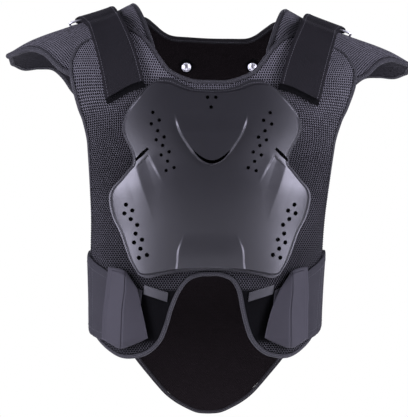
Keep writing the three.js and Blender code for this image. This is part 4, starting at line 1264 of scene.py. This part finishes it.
# %% Waist straps
WAIST_WIDTH, WAIST_THICKNESS, WAIST_START, ARCH_EDGE = 12 * MM, 1.2 * MM, BELT_END - 9 * MM, 53 * MM
WAIST_TOP, WAIST_FOOT, WAIST_SIZE = 380 * MM, 390 * MM, (61, 17)


def waist_grid(side, lift):
    a, b = share_grid(*WAIST_SIZE)
    up = -mix(WAIST_TOP, WAIST_FOOT, a) + WAIST_WIDTH * (0.5 - b)
    return at_width(-1, side * mix(WAIST_START, ARCH_EDGE, a), up, FRONT_OUTER + 0.7 * LAYER_GAP + lift)


for word, side in SIDES.items():
    ribbon = sheet(f"satin_ribbon_{word}", waist_grid(side, 0.0), waist_grid(side, WAIST_THICKNESS))
    finish_piece(ribbon, SATIN, "satin_strap", f"waist_strap_{word}")

# %% [markdown]
# ## Snap studs
# Two bright studs hold the neck of the back panel. Seen from the front each is a low dome with a
# rolled rim. It is a profile of radius and height turned round the stud's axis, which is taken
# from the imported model, so the stud stands square in its hole.

# %% Studs
STUD_RADIUS, STUD_SIDES, SHANK_RADIUS = 7 * MM, 48, 2.5 * MM
STUD_RISE = 0.49
stud_profile = [
    (0.00, -STUD_RISE), (0.22, -0.475), (0.42, -0.43), (0.60, -0.36), (0.74, -0.27), (0.80, -0.20),
    (0.86, -0.23), (0.94, -0.24), (0.99, -0.19), (1.00, -0.13), (0.97, -0.08), (0.90, 0.0),
]


def stud_axis(name):
    """The stud's points, their centre and its axis: the direction unlike the other two."""
    points = points_of(name)
    centre = points.mean(axis=0)
    values, vectors = np.linalg.eigh(np.cov((points - centre).T))
    odd = np.argmin([abs(values[1] - values[2]), abs(values[0] - values[1])])
    axis = vectors[:, 0] if odd == 0 else vectors[:, 2]
    return points, centre, axis * np.sign(axis[1])


def turned_profile(profile, centre, axis):
    """Rings of the profile, radius and height in stud radii, turned round the axis."""
    radius, height = (STUD_RADIUS * np.array(profile)).T[..., None, None]
    return centre + radius * circle_round(axis, STUD_SIDES) + height * axis


for word in SIDES:
    points, centre, axis = stud_axis(f"rivet_{word}")
    along = (points - centre) @ axis
    near = centre + axis * (along.min() + STUD_RISE * STUD_RADIUS)
    back = (centre + axis * along.max() - near) @ axis / STUD_RADIUS
    shank = SHANK_RADIUS / STUD_RADIUS
    plug = [(shank, 0.0), (shank, back - 0.17), (0.70, back - 0.17)]
    plug += [(0.66, back - 0.05), (0.55, back), (0.0, back)]
    rings = turned_profile(stud_profile + plug, near, axis)
    stud = object_from(f"stud_{word}", rings, ring_quads(*rings.shape[:2], False), still=True)
    finish_piece(stud, METAL, "bright_metal", f"rivet_{word}")

# %% [markdown]
# ## Stage, light and camera
# The vest hangs in a white room, lit by two large soft lights at its sides and by weak ones
# above, in front and behind. The sides of black cloth and plastic catch that light, and the
# middle stays dark.

# %% Floor, lights and world
scene = bpy.context.scene


def floor_plane(size, height):
    corners = [(-size, -size, height), (size, -size, height), (size, size, height), (-size, size, height)]
    mesh = bpy.data.meshes.new("floor")
    mesh.from_pydata(corners, [], [(0, 1, 2, 3)])
    plane = add_object("floor", mesh)
    paper = Shader("floor paper")
    plane.data.materials.append(paper.finish(base_color=(0.9, 0.9, 0.9), roughness=0.9,
                                             emission_color=(1.0, 1.0, 1.0), emission_strength=0.4))


def soft_light(name, place, size, power):
    lamp = bpy.data.lights.new(name, "AREA")
    lamp.shape, lamp.energy, lamp.color = "RECTANGLE", power, COOL
    lamp.size, lamp.size_y = size
    holder = add_object(name, lamp)
    holder.location = place
    holder.rotation_euler = (CENTRE - Vector(place)).to_track_quat("-Z", "Y").to_euler()


FLOOR_SIZE, FLOOR_HEIGHT, ROOM_LIGHT = 1.5, -0.78, 0.06
CENTRE, COOL = Vector((0, 0, -0.28)), (0.82, 0.80, 1.0)
floor_plane(FLOOR_SIZE, FLOOR_HEIGHT)
soft_light("side light left", (-1.7, -0.75, 0.15), (0.7, 1.7), 108)
soft_light("side light right", (1.7, -0.75, 0.15), (0.7, 1.7), 100)
soft_light("top light", (0, -0.9, 1.7), (1.6, 0.8), 5)
soft_light("front light", (0, -2.6, 0.5), (0.9, 0.9), 0.8)
soft_light("back light", (0, 2.0, 0.4), (1.6, 1.2), 25)

world = bpy.data.worlds.new("white room")
world.use_nodes = True
backdrop = world.node_tree.nodes["Background"]
backdrop.inputs["Color"].default_value = (1, 1, 1, 1)
rays = world.node_tree.nodes.new("ShaderNodeLightPath")
room = world.node_tree.nodes.new("ShaderNodeMapRange")
room.inputs["To Min"].default_value, room.inputs["To Max"].default_value = ROOM_LIGHT, 1.0
world.node_tree.links.new(rays.outputs["Is Camera Ray"], room.inputs["Value"])
world.node_tree.links.new(room.outputs["Result"], backdrop.inputs["Strength"])
scene.world = world
scene.view_settings.view_transform = "Standard"

# %% [markdown]
# The camera stands level with the middle of the vest, straight in front of it and a little to its
# left. Its lens is long, as for a product picture.

# %% Camera
AZIMUTH, DISTANCE, LENS, SENSOR = math.radians(-2.0), 2.2, 137.6, 36
TARGET = Vector((-4.1 * MM, 0, -275 * MM))
eye = bpy.data.cameras.new("camera")
eye.lens, eye.sensor_width = LENS, SENSOR
camera = add_object("camera", eye)
camera.location = TARGET + DISTANCE * Vector((math.sin(AZIMUTH), -math.cos(AZIMUTH), 0))
camera.rotation_euler = (TARGET - camera.location).to_track_quat("-Z", "Y").to_euler()
scene.camera = camera
print("camera:", tuple(round(v, 3) for v in camera.location))
